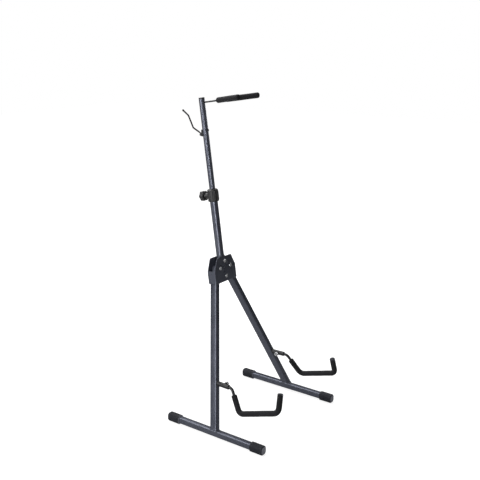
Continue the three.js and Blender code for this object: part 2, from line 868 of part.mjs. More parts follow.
// A foam sleeve with rounded ends, closed over the tip of the wire
function forkFoam(sign) {
  const outer = forkFoamDiameter / 2;
  const bore = forkWire / 2 + foamFit;
  const end = forkReach + forkFoamTip;
  const round = outer * forkTipRoundShare;
  const profile = [
    [bore, forkFoamStart], [outer - foamRound, forkFoamStart],
    [outer - foamRound * roundCornerShare, forkFoamStart + foamRound * roundCornerShare],
    [outer, forkFoamStart + foamRound],
    [outer, end - round], [outer - round * roundCornerShare, end - round * roundCornerShare],
    [outer - round, end], [0, end], [0, forkReach + foamFit],
    [bore, forkReach + foamFit], [bore, forkFoamStart],
  ];
  const direction = forkPoint(sign, 1).sub(forkPoint(sign, 0)).normalize();
  const turn = new THREE.Quaternion().setFromUnitVectors(new THREE.Vector3(0, 0, 1), direction);
  const start = forkPoint(sign, 0);
  return turned(profile, foamSides).applyQuaternion(turn)
    .translate(start.x, start.y, start.z);
}

// Bow hook: a bolt holds the saddle to the post, and the hook turns on a pin below it
const saddleFace = upperPostDiameter / 2 + hookSaddleBack;
const eyeMiddle = saddleFace + seatGap + hookWire / 2;
const hookKnobSeat = eyeMiddle + hookWire / 2 + seatGap;
const hookPinEnd = hookKnobSeat + hookKnobLength * boreInKnobShare;

function hookSaddle() {
  const outline = roundedRectPoints(hookSaddleWidth, hookSaddleHeight, hookSaddleCorner);
  const depth = hookSaddleBack + hookSaddleWrap;
  const block = towardsBack(extruded(shapeOf(outline), depth, saddleFace - depth));
  const post = rod(upperPostDiameter / 2 + seatGap, -hookSaddleHeight, hookSaddleHeight,
    roundSides);
  const boltHole = towardsBack(rod(hookBoltDiameter / 2 + holeClearance, 0, saddleFace * 2))
    .translate(0, 0, hookBoltRise);
  const pinHole = towardsBack(rod(hookPinDiameter / 2 + holeClearance, 0, saddleFace * 2))
    .translate(0, 0, -hookPinDrop);
  return cut(block, post, boltHole, pinHole);
}

// The wire goes most of the way round the pin, then climbs and turns back
function hookWireForm() {
  const eye = hookPinDiameter / 2 + hookEyeClearance + hookWire / 2;
  const turns = Array.from({ length: eyeSteps + 1 }, (_, step) => fullTurn
    * THREE.MathUtils.lerp(hookEyeStartShare, 1, step / eyeSteps));
  const round = turns.map((angle) => new THREE.Vector3(
    -eye * Math.cos(angle), eyeMiddle, eye * Math.sin(angle)));
  const along = turns.map((angle) => new THREE.Vector3(Math.sin(angle), 0, Math.cos(angle)));
  const corners = [round[eyeSteps], new THREE.Vector3(-eye, eyeMiddle, hookRise)];
  hookLengths.forEach((length, i) => {
    const angle = hookAngles[i] + postLean;
    corners.push(corners[corners.length - 1].clone().add(
      new THREE.Vector3(0, length * Math.cos(angle), length * Math.sin(angle))));
  });
  const bent = bentPath(corners, hookBendRadius);
  const path = new StationPath(
    [...round, ...bent.stations.slice(1)], [...along, ...bent.tangents.slice(1)]);
  return swept(shapeOf(circlePoints(hookWire / 2, wireSides)), path);
}

function knurledGrip(diameter, length, bevel, seat) {
  const outline = lobedOutline(diameter - 2 * bevel, knurlCount, knurlDepth, 2);
  return new THREE.ExtrudeGeometry(shapeOf(outline), {
    depth: length - 2 * bevel, bevelThickness: bevel, bevelSize: bevel, bevelSegments: 1,
  }).translate(0, 0, seat + bevel);
}

function hookKnob() {
  const bore = rod(hookPinDiameter / 2 + holeClearance, hookKnobSeat - cutOverrun,
    hookPinEnd + seatGap);
  return towardsBack(cut(knurledGrip(
    hookKnobDiameter, hookKnobLength, hookKnobBevel, hookKnobSeat), bore));
}

function hookPin() {
  const radius = hookPinDiameter / 2;
  return towardsBack(turned([
    [0, upperPostDiameter / 2 + 2 * seatGap], [radius, upperPostDiameter / 2 + 2 * seatGap],
    [radius, hookPinEnd - screwTipLength], [radius * screwTipShare, hookPinEnd],
    [0, hookPinEnd],
  ], smallSides));
}

function bowHook() {
  const group = new THREE.Group();
  group.position.z = hookHeight;
  const shank = bolt(hookBoltDiameter, hookBoltHeadDiameter, hookBoltHeadHeight,
    -upperPostDiameter / 2 - seatGap, saddleFace - seatGap);
  const saddleBolt = mesh('hook_bolt', shank, blackPaint);
  saddleBolt.position.z = hookBoltRise;
  const swivel = new THREE.Group();
  swivel.position.z = -hookPinDrop;
  swivel.add(
    mesh('hook_pin', hookPin(), zincSteel),
    mesh('hook_wire', hookWireForm(), blackPaint),
    mesh('hook_knob', hookKnob(), blackPlastic),
  );
  group.add(mesh('hook_saddle', hookSaddle(), blackPlastic), saddleBolt, swivel);
  return group;
}

// Cradle arms, in a frame on the socket's axis: y back, z up the arm
function socketPlace(sign) {
  const { base, kink } = legLine(sign);
  const share = (socketHeight - base.z) / (kink.z - base.z);
  return base.clone().lerp(kink, share);
}

function armSocket({ sign }) {
  const place = socketPlace(sign);
  const front = -legFaceBack - weldGap - socketLength;
  const outer = socketDiameter / 2;
  const tube = turned([
    [socketBore / 2, front], [outer - socketBevel, front], [outer, front + socketBevel],
    [outer, 0], [socketBore / 2, 0], [socketBore / 2, front],
  ], smallSides);
  const boss = rod(socketBossDiameter / 2, 0, outer + socketBossHeight)
    .rotateY(-sign * fullTurn / 4).translate(0, 0, front + socketLength / 2);
  const along = rod(socketBore / 2, front - cutOverrun, cutOverrun);
  const screwHole = rod(lockScrewDiameter / 2 + holeClearance, 0, outer + 2 * socketBossHeight)
    .rotateY(-sign * fullTurn / 4).translate(0, 0, front + socketLength / 2);
  const form = towardsBack(cut(join(tube, boss), along, screwHole));
  form.rotateZ(sign * armSplay);
  // The end is cut to lie on the leaning front of the leg
  const leg = new THREE.BoxGeometry(4 * legWidth, 2 * legDepth, 4 * legDepth)
    .translate(0, legDepth / 2 - weldGap, 0).rotateX(-legLean);
  return cut(form, leg).translate(place.x, place.y, place.z);
}

function armCorners() {
  const start = -legFaceBack - socketLength + armInsert;
  const upper = -legFaceBack - armReach;
  const rear = upper - armRearSetback;
  const front = rear - armRunForward;
  return [
    [start, 0], [upper, 0], [rear, -armRearDrop], [front, -armRearDrop + armRunRise],
    [front + armTipSetback, -armRearDrop + armRunRise + armTipHeight],
  ].map(([y, z]) => new THREE.Vector3(0, y, z));
}

function armRod() {
  const path = bentPath(armCorners(), armBendRadius);
  return swept(shapeOf(circlePoints(armRodDiameter / 2, wireSides)), path);
}

// The foam starts below the upper bend and stops short of the rod's end
function armFoam() {
  const corners = armCorners();
  const [, upper, rear, , tip] = corners;
  const down = rear.clone().sub(upper).normalize();
  const start = upper.clone().addScaledVector(down, armBendRadius / 2 + armFoamStart);
  const path = bentPath([start, ...corners.slice(2, 4), tip], armBendRadius);
  const sleeveShape = shapeOf(
    circlePoints(armFoamDiameter / 2, foamSides),
    circlePoints(armRodDiameter / 2 + foamFit, wireSides),
  );
  return swept(sleeveShape, path);
}

// A rubber cap over the end of the rod and its foam
function armEndCap() {
  const [, , , front, tip] = armCorners();
  const outer = armFoamDiameter / 2;
  const profile = armCapShares.map(([out, up]) => [outer * out, armCapHeight * up]);
  const form = turned([[0, 0], ...profile, [0, armCapHeight]], foamSides)
    .translate(0, 0, seatGap);
  const direction = tip.clone().sub(front).normalize();
  const turn = new THREE.Quaternion().setFromUnitVectors(new THREE.Vector3(0, 0, 1), direction);
  return form.applyQuaternion(turn).translate(tip.x, tip.y, tip.z);
}

function lockScrew(sign) {
  const middle = -legFaceBack - weldGap - socketLength / 2;
  const tip = armRodDiameter / 2 + seatGap;
  const seat = socketDiameter / 2 + socketBossHeight + seatGap;
  const radius = lockScrewDiameter / 2;
  const head = knurledGrip(lockHeadDiameter, lockHeadLength, lockHeadBevel, seat);
  const shank = turned([
    [0, tip], [radius * screwTipShare, tip], [radius, tip + screwTipLength],
    [radius, seat + lockHeadBevel], [0, seat + lockHeadBevel],
  ], smallSides);
  return join(head, shank).rotateY(-sign * fullTurn / 4).translate(0, middle, 0);
}

function cradleArm({ name, sign }) {
  const place = socketPlace(sign);
  const arm = new THREE.Group();
  arm.rotation.y = -sign * armLean;
  arm.add(
    mesh(`arm_rod_${name}`, armRod(), blackPaint),
    mesh(`arm_foam_${name}`, armFoam(), blackFoam),
    mesh(`arm_end_cap_${name}`, armEndCap(), blackRubber),
  );
  const turning = new THREE.Group();
  turning.position.copy(place);
  turning.rotation.z = sign * armSplay;
  turning.add(arm, mesh(`arm_lock_screw_${name}`, lockScrew(sign), zincSteel));
  const group = new THREE.Group();
  group.add(mesh(`arm_socket_${name}`, armSocket({ sign }), paintedSteel), turning);
  return group;
}

// Assembly
const stand = new THREE.Group();
sides.forEach((side) => {
  stand.add(
    foot(side),
    mesh(`leg_tube_${side.name}`, legTube(side), paintedSteel),
    mesh(`leg_pivot_sleeve_${side.name}`, pivotSleeve(side), zincSteel),
    cradleArm(side),
  );
});

const post = new THREE.Group();
post.position.set(0, kinkSetback, kinkHeight);
post.rotation.x = -postLean;
post.add(
  mesh('hub_channel', hubChannel(), paintedSteel),
  mesh('hub_back_plate', hubBackPlate(), paintedSteel),
  hubFasteners(),
  mesh('lower_post_tube', lowerPostTube(), paintedSteel),
  mesh('lower_post_plug', lowerPostPlug(), blackPlastic),
  mesh('clamp_collar', clampCollar(), blackPlastic),
  heightClampScrew(),
  mesh('upper_post_tube', upperPostTube(), paintedSteel),
  mesh('upper_post_bush', upperPostBush(), blackPlastic),
  mesh('top_plug', topPlug(), blackPlastic),
  mesh('fork_wire', forkWireForm(), blackPaint),
  mesh('fork_foam_left', forkFoam(-1), blackFoam),
  mesh('fork_foam_right', forkFoam(1), blackFoam),
  bowHook(),
);
stand.add(post);

// The origin is on the floor, under the middle of the stand's box
const group = new THREE.Group();
group.add(stand);
const box = new THREE.Box3().setFromObject(stand, true);
stand.position.y = -(box.min.y + box.max.y) / 2;

export default group;
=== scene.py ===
# %% [markdown]
# # A folding floor stand with a padded fork
# The stand is made of painted steel tube, with rubber on its feet, foam on the arms and the
# fork, and a few black plastic parts. The measured solids come first, as a fixed frame.
# Every surface made below goes where a solid says, and most of them take its place.

# %% Load the frame
import json
import math
import bpy
import numpy as np
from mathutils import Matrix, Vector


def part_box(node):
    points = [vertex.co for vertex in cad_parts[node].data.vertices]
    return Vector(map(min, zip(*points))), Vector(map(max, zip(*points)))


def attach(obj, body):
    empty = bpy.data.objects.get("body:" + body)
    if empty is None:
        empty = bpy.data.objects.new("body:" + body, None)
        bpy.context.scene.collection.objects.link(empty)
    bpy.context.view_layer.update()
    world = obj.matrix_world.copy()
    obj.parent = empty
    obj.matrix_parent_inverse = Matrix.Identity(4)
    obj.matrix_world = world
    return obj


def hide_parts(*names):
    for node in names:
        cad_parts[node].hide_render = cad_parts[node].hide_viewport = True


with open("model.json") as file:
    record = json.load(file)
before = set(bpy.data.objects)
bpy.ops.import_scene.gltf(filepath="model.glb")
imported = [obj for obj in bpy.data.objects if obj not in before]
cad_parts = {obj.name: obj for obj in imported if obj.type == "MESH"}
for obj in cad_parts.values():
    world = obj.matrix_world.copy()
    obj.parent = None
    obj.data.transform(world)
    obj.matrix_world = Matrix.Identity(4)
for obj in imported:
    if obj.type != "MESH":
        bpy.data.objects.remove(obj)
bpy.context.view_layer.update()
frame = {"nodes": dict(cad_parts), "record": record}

MM = 0.001
SIDES = (("left", -1), ("right", 1))

# %% [markdown]
# ## The camera
# The photograph was taken from the stand's front left, a little above it, with a longer lens.
# The place and angle were fitted to the feet, the legs and the post, and the image is square.

# %% Place the camera
SENSOR_MM = 36
FOCAL_PIXELS = 751.69
IMAGE_PIXELS = 480
LOOK_DOWN = 0.26350
LOOK_TURN = -0.94250
camera_data = bpy.data.cameras.new("camera")
camera_data.sensor_width = SENSOR_MM
camera_data.lens = FOCAL_PIXELS / IMAGE_PIXELS * SENSOR_MM
camera = bpy.data.objects.new("camera", camera_data)
camera.location = (-1.863747, -1.330195, 1.203587)
camera.rotation_euler = (math.pi / 2 - LOOK_DOWN, 0, LOOK_TURN)
bpy.context.scene.collection.objects.link(camera)
bpy.context.scene.camera = camera
print("lens, mm:", round(camera_data.lens, 1))

# %% [markdown]
# ## Two frames to work in
# The feet are level, so they are drawn straight in the stand's own frame. The post, the hub,
# the fork and the hook all lean back together. They are simpler to draw upright, in the post's
# frame, whose z runs up the post, and are then leaned as one. That frame starts level with the
# kinks, where the legs bend into the hub.

# %% The post's frame
foot_low, foot_high = (np.array(corner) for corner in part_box("foot_tube_left"))
FEET_Y = (foot_low[1] + foot_high[1]) / 2
FOOT_X = 206.5
FOOT_Z = 14.5
FOOT_TALL = 20
FOOT_TOP = FOOT_Z + FOOT_TALL / 2
KINK = np.array([43.5, 121.6, 435.3])
LEAN = math.radians(7.84)
GAP = 0.3  # left between parts that touch
POST_ORIGIN = np.array([0, FEET_Y + KINK[1] * MM, KINK[2] * MM])
POST_AXES = np.array([
    [1, 0, 0],
    [0, math.cos(LEAN), -math.sin(LEAN)],
    [0, math.sin(LEAN), math.cos(LEAN)],
])


def in_post(points):
    """Points of the post's frame, in mm, taken into the stand's frame, in metres."""
    return np.asarray(points) * MM @ POST_AXES + POST_ORIGIN


def in_stand(points):
    """Points in mm whose y is measured from the middle of the feet, taken into metres."""
    return np.asarray(points) * MM + np.array([0, FEET_Y, 0])


print("the feet's middle is at y =", round(FEET_Y, 5))

# %% [markdown]
# ## Surfaces on a grid
# Nearly everything here is a tube, a rod or a turned knob. Each is a grid of points, where a row
# is one ring and the columns run round it. The grid is worked out as one array. Then every
# cell becomes a face, rings that shrink to a point are closed as poles, and the faces are turned
# to point outwards.


# %% From grids to a mesh
def grid_faces(rows, columns, ring=True):
    """Corner numbers of each cell; in a ring the last column meets the first."""
    index = np.arange(rows * columns).reshape(rows, columns)
    following = np.roll(index, -1, axis=1)
    cells = np.stack([index[:-1], following[:-1], following[1:], index[1:]], axis=-1)
    return (cells if ring else cells[:, :-1]).reshape(-1, 4)


def cell_faces(grid, ring):
    """Unique points of a grid, its four-sided faces, and its three-sided ones at the poles."""
    flat = grid.reshape(-1, 3)
    points, place = np.unique(np.round(flat, 8), axis=0, return_inverse=True)
    faces = place.reshape(-1)[grid_faces(*grid.shape[:2], ring)]
    a, b, c, d = points[faces].transpose(1, 0, 2)
    if np.einsum("ij,ij->i", a, np.cross(b, c) + np.cross(c, d)).sum() < 0:
        faces = faces[:, ::-1]
    differs = faces != np.roll(faces, 1, axis=1)
    corners = differs.sum(axis=1)
    opposite = (faces[:, 0] == faces[:, 2]) | (faces[:, 1] == faces[:, 3])
    quads = faces[(corners == 4) & ~opposite]
    poles = (corners == 3) & ~opposite
    return points, quads, faces[poles][differs[poles]].reshape(-1, 3)


def mesh_of(name, grids, ring=True):
    """One mesh from several grids, each rows x columns x 3, in metres."""
    points, faces, start = [], [], 0
    for grid in grids:
        own, quads, triangles = cell_faces(grid, ring)
        faces += (quads + start).tolist() + (triangles + start).tolist()
        points += own.tolist()
        start += len(own)
    mesh = bpy.data.meshes.new(name)
    mesh.from_pydata(points, [], faces)
    mesh.validate()
    mesh.shade_smooth()
    mesh.set_sharp_from_angle(angle=math.radians(38))
    return mesh


made = {}


def piece(name, grids, finish, body, *nodes, slot, ring=True):
    """A finished object at the origin, which rides on a body and stands for the nodes named."""
    mesh = mesh_of(name, grids, ring)
    mesh.materials.append(finish)
    obj = bpy.data.objects.new(name, mesh)
    bpy.context.scene.collection.objects.link(obj)
    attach(obj, body)
    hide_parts(*nodes)
    made[name] = len(mesh.polygons)
    return obj


# %% [markdown]
# ## Profiles, paths and rings
# A bent rod is a circle carried along a path of straight runs and round bends. A knob or a
# plug is a profile turned about an axis. Both start from a few corners, so one function
# rounds corners for all of them, and another puts in more points where a run is long.


# %% Rounding and filling
def rounded(corners, radius, steps=8):
    """Corners joined by straight runs; each inner corner becomes an arc touching both runs."""
    corners = np.asarray(corners, float)
    runs = np.diff(corners, axis=0)
    runs /= np.linalg.norm(runs, axis=1, keepdims=True)
    radii = np.broadcast_to(radius, len(corners) - 2)
    turn = np.linspace(0, 1, steps + 1)[:, None]
    parts = [corners[:1]]
    for corner, before, after, r in zip(corners[1:-1], runs[:-1], runs[1:], radii):
        angle = math.acos(float(np.clip(before @ after, -1, 1)))
        if r == 0 or angle < 1e-4:
            parts.append(corner[None])
            continue
        inward = after - before * (before @ after)
        inward /= np.linalg.norm(inward)
        start = corner - before * r * math.tan(angle / 2)
        parts.append(start + before * r * np.sin(angle * turn)
                     + inward * r * (1 - np.cos(angle * turn)))
    parts.append(corners[-1:])
    return np.concatenate(parts)


def measured(path):
    """A path's steps, their lengths, and how far along the path each of its points is."""
    steps = np.diff(path, axis=0)
    lengths = np.linalg.norm(steps, axis=1)
    return steps, lengths, np.concatenate([[0], np.cumsum(lengths)])


def filled(profile, step):
    """More points on each run that is longer than a step, at even distances."""
    profile = np.asarray(profile, float)
    _, lengths, along = measured(profile)
    parts = np.maximum(1, np.ceil(lengths / step)).astype(int)
    run = np.repeat(np.arange(len(parts)), parts)
    count = np.arange(parts.sum()) - np.repeat(np.cumsum(parts) - parts, parts)
    wanted = np.append(along[run] + count / parts[run] * lengths[run], along[-1])
    return np.stack([np.interp(wanted, along, column) for column in profile.T], axis=1)


def angles(count):
    """Equal steps once round, as a row."""
    return np.arange(count) * 2 * np.pi / count


# %% Turning and carrying
def about_z(reach, turn, height):
    """Points at a reach from z, for each height and angle."""
    return np.stack([reach * np.cos(turn), reach * np.sin(turn), height + 0 * turn], axis=-1)


def turned(profile, sides=48, ripple=None):
    """(radius, height) pairs turned about z; ripple(angle, height, radius) adds to the radius."""
    radius, height = np.asarray(profile, float).T[:, :, None]
    turn = angles(sides)[None]
    reach = radius + (0 if ripple is None else ripple(turn, height, radius))
    return about_z(reach, turn, height)


def to_back(grid):
    """A form made along +z, turned so that its z runs back along +y."""
    return np.stack([grid[..., 0], grid[..., 2], -grid[..., 1]], axis=-1)


def length_of(path):
    """How long a path is, from end to end."""
    return float(measured(path)[1].sum())


def carried(path, normal, stations, sides=32, swell=None):
    """Rings of (distance, radius) along a path that lies in the plane with that normal.

    The path's tangent and the plane's normal give each ring its two directions, and
    swell(distance, angle, radius) adds to the radius.
    """
    path = np.asarray(path, float)
    steps, lengths, along = measured(path)
    unit = steps / lengths[:, None]
    tangent = np.concatenate([unit[:1], unit[:-1] + unit[1:], unit[-1:]])
    tangent /= np.linalg.norm(tangent, axis=1, keepdims=True)
    distance, radius = np.asarray(stations, float).T
    centre = np.stack([np.interp(distance, along, column) for column in path.T], axis=1)
    forward = np.stack([np.interp(distance, along, column) for column in tangent.T], axis=1)
    side = np.cross(forward, normal)
    side /= np.linalg.norm(side, axis=1, keepdims=True)
    turn = angles(sides)
    reach = radius[:, None]
    if swell is not None:
        reach = reach + swell(distance[:, None], turn[None], radius[:, None])
    ring = (np.cos(turn)[None, :, None] * side[:, None]
            + np.sin(turn)[None, :, None] * np.asarray(normal)[None, None])
    return centre[:, None] + reach[..., None] * ring


def rod(path, normal, radius, sides=28, step=2.0, edge=0.4):
    """A bent round rod of one radius, its ends flat with rounded edges."""
    long = length_of(path)
    outline = rounded([[0, 0], [0, radius], [long, radius], [long, 0]], edge, steps=3)
    return carried(path, normal, filled(outline, step), sides)


# %% [markdown]
# ## Finishes
# Seven finishes cover the whole stand. Powder coat on the tubes is a dark blue grey with a
# soft gloss and a faint orange peel. The bent rods are painted plain black, and the hook's
# wire is dipped in a duller black. Foam is matt, with tiny cells. Rubber is matt and a little
# dusty. The moulded plastic has a fine grain, and the bolts are zinc plated. Each one varies a
# little in colour and gloss over its own coordinates.
# The ends of the rubber feet get a painted highlight, a lighter colour on faces that look along y.


# %% Nodes and their inputs
def set_inputs(node, **values):
    """Give some of a node's inputs their values, by name."""
    for label, value in values.items():
        node.inputs[label.replace("_", " ")].default_value = value


def new_node(tree, kind, **values):
    """A new node with some of its inputs set."""
    node = tree.nodes.new(kind)
    set_inputs(node, **values)
    return node


def paint_lit_ends(tree, shader, place, tint, colour):
    """Faces that look along y, the ends of the feet, get a painted highlight: a lighter colour."""
    parts = tree.nodes.new("ShaderNodeSeparateXYZ")
    tree.links.new(place.outputs["Normal"], parts.inputs["Vector"])
    size = tree.nodes.new("ShaderNodeMath")
    size.operation = "ABSOLUTE"
    tree.links.new(parts.outputs["Y"], size.inputs[0])
    share = new_node(tree, "ShaderNodeMapRange", From_Min=0.75, From_Max=0.98)
    tree.links.new(size.outputs["Value"], share.inputs["Value"])
    mixed = tree.nodes.new("ShaderNodeMix")
    mixed.data_type = "RGBA"
    mixed.inputs["B"].default_value = (*colour, 1)
    tree.links.new(share.outputs["Result"], mixed.inputs["Factor"])
    tree.links.new(tint.outputs["Color"], mixed.inputs["A"])
    tree.links.new(mixed.outputs["Result"], shader.inputs["Base Color"])


# %% A finish
BROAD_SCALE = 22
BROAD_RANGE = (0.3, 0.7)


def finish_of(name, dark, light, roughness, grain, metallic=0.0, specular=0.5, sheen=0.0,
              cells=False, lit_ends_colour=None):
    """Colour and roughness wander with a broad noise, and a fine one raises the grain.

    grain is (scale per metre, strength, depth in metres).
    """
    material = bpy.data.materials.new(name)
    material.use_nodes = True
    tree = material.node_tree
    shader = tree.nodes["Principled BSDF"]
    set_inputs(shader, Metallic=metallic, Specular_IOR_Level=specular, Sheen_Weight=sheen,
               Sheen_Roughness=0.6)
    place = tree.nodes.new("ShaderNodeTexCoord")
    broad = new_node(tree, "ShaderNodeTexNoise", Scale=BROAD_SCALE, Detail=6, Roughness=0.6)
    tree.links.new(place.outputs["Object"], broad.inputs["Vector"])
    tint = tree.nodes.new("ShaderNodeValToRGB")
    for stop, position, colour in zip(tint.color_ramp.elements, BROAD_RANGE, (dark, light)):
        stop.position = position
        stop.color = (*colour, 1)
    tree.links.new(broad.outputs["Fac"], tint.inputs["Fac"])
    tree.links.new(tint.outputs["Color"], shader.inputs["Base Color"])
    gloss = new_node(tree, "ShaderNodeMapRange", From_Min=BROAD_RANGE[0],
                     From_Max=BROAD_RANGE[1], To_Min=roughness[0], To_Max=roughness[1])
    tree.links.new(broad.outputs["Fac"], gloss.inputs["Value"])
    tree.links.new(gloss.outputs["Result"], shader.inputs["Roughness"])
    scale, strength, depth = grain
    fine = new_node(tree, "ShaderNodeTexVoronoi" if cells else "ShaderNodeTexNoise", Scale=scale)
    tree.links.new(place.outputs["Object"], fine.inputs["Vector"])
    bump = new_node(tree, "ShaderNodeBump", Strength=strength, Distance=depth)
    height = fine.outputs["Distance"] if cells else fine.outputs["Fac"]
    tree.links.new(height, bump.inputs["Height"])
    tree.links.new(bump.outputs["Normal"], shader.inputs["Normal"])
    # A painted highlight: faces that look along y are painted lighter, for the light the ends
    # catch.
    if lit_ends_colour:
        paint_lit_ends(tree, shader, place, tint, lit_ends_colour)
    return material


# %% The seven finishes
powder_coat = finish_of("powder_coat", (0.076, 0.082, 0.106), (0.095, 0.102, 0.129),
                        (0.25, 0.32), (700, 0.16, 0.0001), metallic=0.6)
black_paint = finish_of("black_paint", (0.010, 0.010, 0.012), (0.017, 0.017, 0.019),
                        (0.32, 0.44), (800, 0.2, 0.0001), specular=0.3)
dipped_black = finish_of("dipped_black", (0.007, 0.007, 0.009), (0.011, 0.011, 0.014),
                         (0.5, 0.6), (900, 0.2, 0.0001), specular=0.25)
# The rubber's ends get a painted highlight, a lighter colour where the faces look along y.
cap_rubber = finish_of("cap_rubber", (0.009, 0.010, 0.014), (0.018, 0.019, 0.025),
                       (0.58, 0.74), (1400, 0.35, 0.00012), specular=0.24,
                       lit_ends_colour=(0.25, 0.255, 0.29))
sleeve_foam = finish_of("sleeve_foam", (0.007, 0.007, 0.008), (0.012, 0.012, 0.014),
                        (0.84, 0.94), (1100, 0.5, 0.00035), specular=0.14, sheen=0.05,
                        cells=True)
grained_plastic = finish_of("grained_plastic", (0.012, 0.012, 0.013), (0.018, 0.018, 0.019),
                            (0.42, 0.52), (2200, 0.3, 0.0001))
zinc_plate = finish_of("zinc_plate", (0.45, 0.46, 0.48), (0.62, 0.62, 0.62),
                       (0.25, 0.4), (1600, 0.15, 0.00006), metallic=1.0)
FINISHES = {
    "painted_steel": powder_coat, "black_paint": black_paint, "rubber": cap_rubber,
    "foam": sleeve_foam, "plastic": grained_plastic, "zinc": zinc_plate,
}
print("slots with a finish:", len(FINISHES))

# %% [markdown]
# ## The solids that stay
# A few solids are out of sight inside others, and they are kept as they are. Each solid gets
# the finish that the record names for it.

# %% Finish every solid
for part in frame["record"]["subparts"]:
    solid = frame["nodes"][part["node"]]
    solid.data.materials.clear()
    solid.data.materials.append(FINISHES[part["material_slot"]])

# %% [markdown]
# ## The cradle arms' own frame
# An arm turns about its socket on the front of a leg. It is drawn on the socket's axis, with x
# pointing outwards, and is turned a little outwards in plan. The arm itself hangs in a plane
# that leans inwards. Its corners are distances in front of the leg's face, with heights.

# %% A place on the socket
ARM_LEAN = math.radians(16)
ARM_SPLAY = math.radians(2.2)
LEG_BASE = np.array([FOOT_X, 0, FOOT_TOP])
LEG_FACE = 13.0369  # half of the tube's depth, measured level
LEG_START = FOOT_TOP + GAP
LEG_LEAN = math.atan2(KINK[1], KINK[2] - LEG_START)
SOCKET_Z = 154
SOCKET = LEG_BASE + (SOCKET_Z - LEG_START) / (KINK[2] - LEG_START) * (KINK - LEG_BASE)
SOCKET[2] = SOCKET_Z


def at_socket(sign, points):
    """Points in mm about a socket's middle, x outwards, splayed and placed on one side."""
    x, y, z = np.moveaxis(np.asarray(points, float), -1, 0)
    out = x * math.cos(ARM_SPLAY) - y * math.sin(ARM_SPLAY)
    back = x * math.sin(ARM_SPLAY) + y * math.cos(ARM_SPLAY)
    place = np.stack([sign * (SOCKET[0] + out), SOCKET[1] + back, SOCKET[2] + z], axis=-1)
    return in_stand(place)


def leaned(path):
    """An arm's flat (y, z) points, leaned inwards about the socket's axis."""
    y, z = np.asarray(path).T
    return np.stack([-z * math.sin(ARM_LEAN), y, z * math.cos(ARM_LEAN)], axis=1)


ARM_NORMAL = np.array([math.cos(ARM_LEAN), 0, math.sin(ARM_LEAN)])
ARM_CORNERS = np.array([[-10, 0], [-56, 0], [-100.5, -67.8], [-236.9, -24.1], [-232.6, 30.3]])
ARM_CORNERS = ARM_CORNERS - np.array([LEG_FACE, 0])
ARM_BEND = 19
ARM_ROD = 4.65
ARM_PATH = rounded(ARM_CORNERS, ARM_BEND, steps=16)
print("socket at", SOCKET.round(1), "- rod length, mm:", round(length_of(ARM_PATH)))

# %% [markdown]
# ## Foam sleeves on the cradle arms
# Each arm is a bent rod in a thick foam sleeve. Foam that is pushed round a bend crowds into
# shallow folds on the inner side and thins a little on the outer side. So the sleeve is
# a ring carried along the rod's path, and its radius changes with both the distance along
# the path and the angle round it.

# %% Foam with folds in its bends
FOAM_RADIUS = 9.0
FOAM_START = 12 + ARM_BEND / 2
FOLD_DEPTH = 0.34
FOLD_PITCH = 3.8
THINNING = 0.25
UNEVEN = 0.1


def bend_share(distance, path):
    """How much the path is bending near a distance, from 0 on a straight run to 1 in a bend."""
    steps, _, along = measured(path)
    heading = np.unwrap(np.arctan2(steps[:, 1], steps[:, 0]))
    middle = (along[:-1] + along[1:]) / 2
    spread = 4.0
    turn = (np.interp(distance + spread, middle, heading)
            - np.interp(distance - spread, middle, heading))
    return np.clip(turn / (2 * spread / ARM_BEND), -1, 1)


def arm_foam(sign):
    """From the rod out over a rounded mouth, along the sleeve, and in under the end cap."""
    long = length_of(ARM_PATH)
    to_rear = length_of(rounded(ARM_CORNERS[:3], ARM_BEND, steps=16))
    knee = to_rear - np.linalg.norm(ARM_CORNERS[2] - ARM_CORNERS[1]) + FOAM_START
    end = long - 0.1
    outline = rounded([[knee + 1.5, 0], [knee + 1.5, 4.6], [knee, 5.2], [knee, FOAM_RADIUS],
                       [end, FOAM_RADIUS], [end, 0]], [0, 0, 2.4, 1.6])
    phase = np.random.default_rng(7 + sign).uniform(0, 6.28, 3)

    def swell(distance, angle, radius):
        bend = bend_share(distance, ARM_PATH)
        facing = np.cos(angle) * np.sign(bend)
        inner = np.clip(-facing, 0, 1) * np.abs(bend)
        outer = np.clip(facing, 0, 1) * np.abs(bend)
        folds = FOLD_DEPTH * np.sin(distance * 2 * np.pi / FOLD_PITCH + phase[0]) * inner ** 1.5
        uneven = UNEVEN * np.sin(distance * 0.11 + phase[1] + 2 * np.sin(angle + phase[2]))
        return (folds - THINNING * outer + uneven - UNEVEN) * (radius > 7)

    rings = carried(leaned(ARM_PATH), ARM_NORMAL, filled(outline, 0.8), 72, swell)
    return at_socket(sign, rings)


for side, sign in SIDES:
    sleeve = piece(f"foam_sleeve_{side}", [arm_foam(sign)], sleeve_foam, f"arm_{side}",
                   f"arm_foam_{side}", slot="foam")
print("arm sleeve faces:", made["foam_sleeve_left"])

# %% [markdown]
# ## The arm's rod, its end cap and its locking screw
# The rod comes out of a socket welded to the leg, and a knurled screw on the inner side locks
# it. Only a short run of the rod shows between the socket and the foam.


# %% Rods and end caps
def arm_cap(sign):
    """A low domed cap turned about the rod's last run."""
    tip, before = leaned(ARM_CORNERS[[4, 3]])
    path = np.stack([tip, tip + (tip - before) / np.linalg.norm(tip - before) * 6])
    profile = rounded([[GAP, 0], [GAP, FOAM_RADIUS], [4.3, FOAM_RADIUS], [4.3, 0]], [0.5, 3.2],
                      steps=10)
    return at_socket(sign, carried(path, ARM_NORMAL, profile, 64))


for side, sign in SIDES:
    bar = at_socket(sign, rod(leaned(ARM_PATH), ARM_NORMAL, ARM_ROD, 36))
    piece(f"arm_bar_{side}", [bar], black_paint, f"arm_{side}", f"arm_rod_{side}",
          slot="black_paint")
    piece(f"arm_tip_{side}", [arm_cap(sign)], cap_rubber, f"arm_{side}",
          f"arm_end_cap_{side}", slot="rubber")
print("arm rods and tips:", made["arm_bar_left"], made["arm_tip_left"])

# %% [markdown]
# A locking screw has a knurled head. The knurl is a wave in the radius that fades out over the
# head's rounded edges, and the same wave serves the hook's knob.


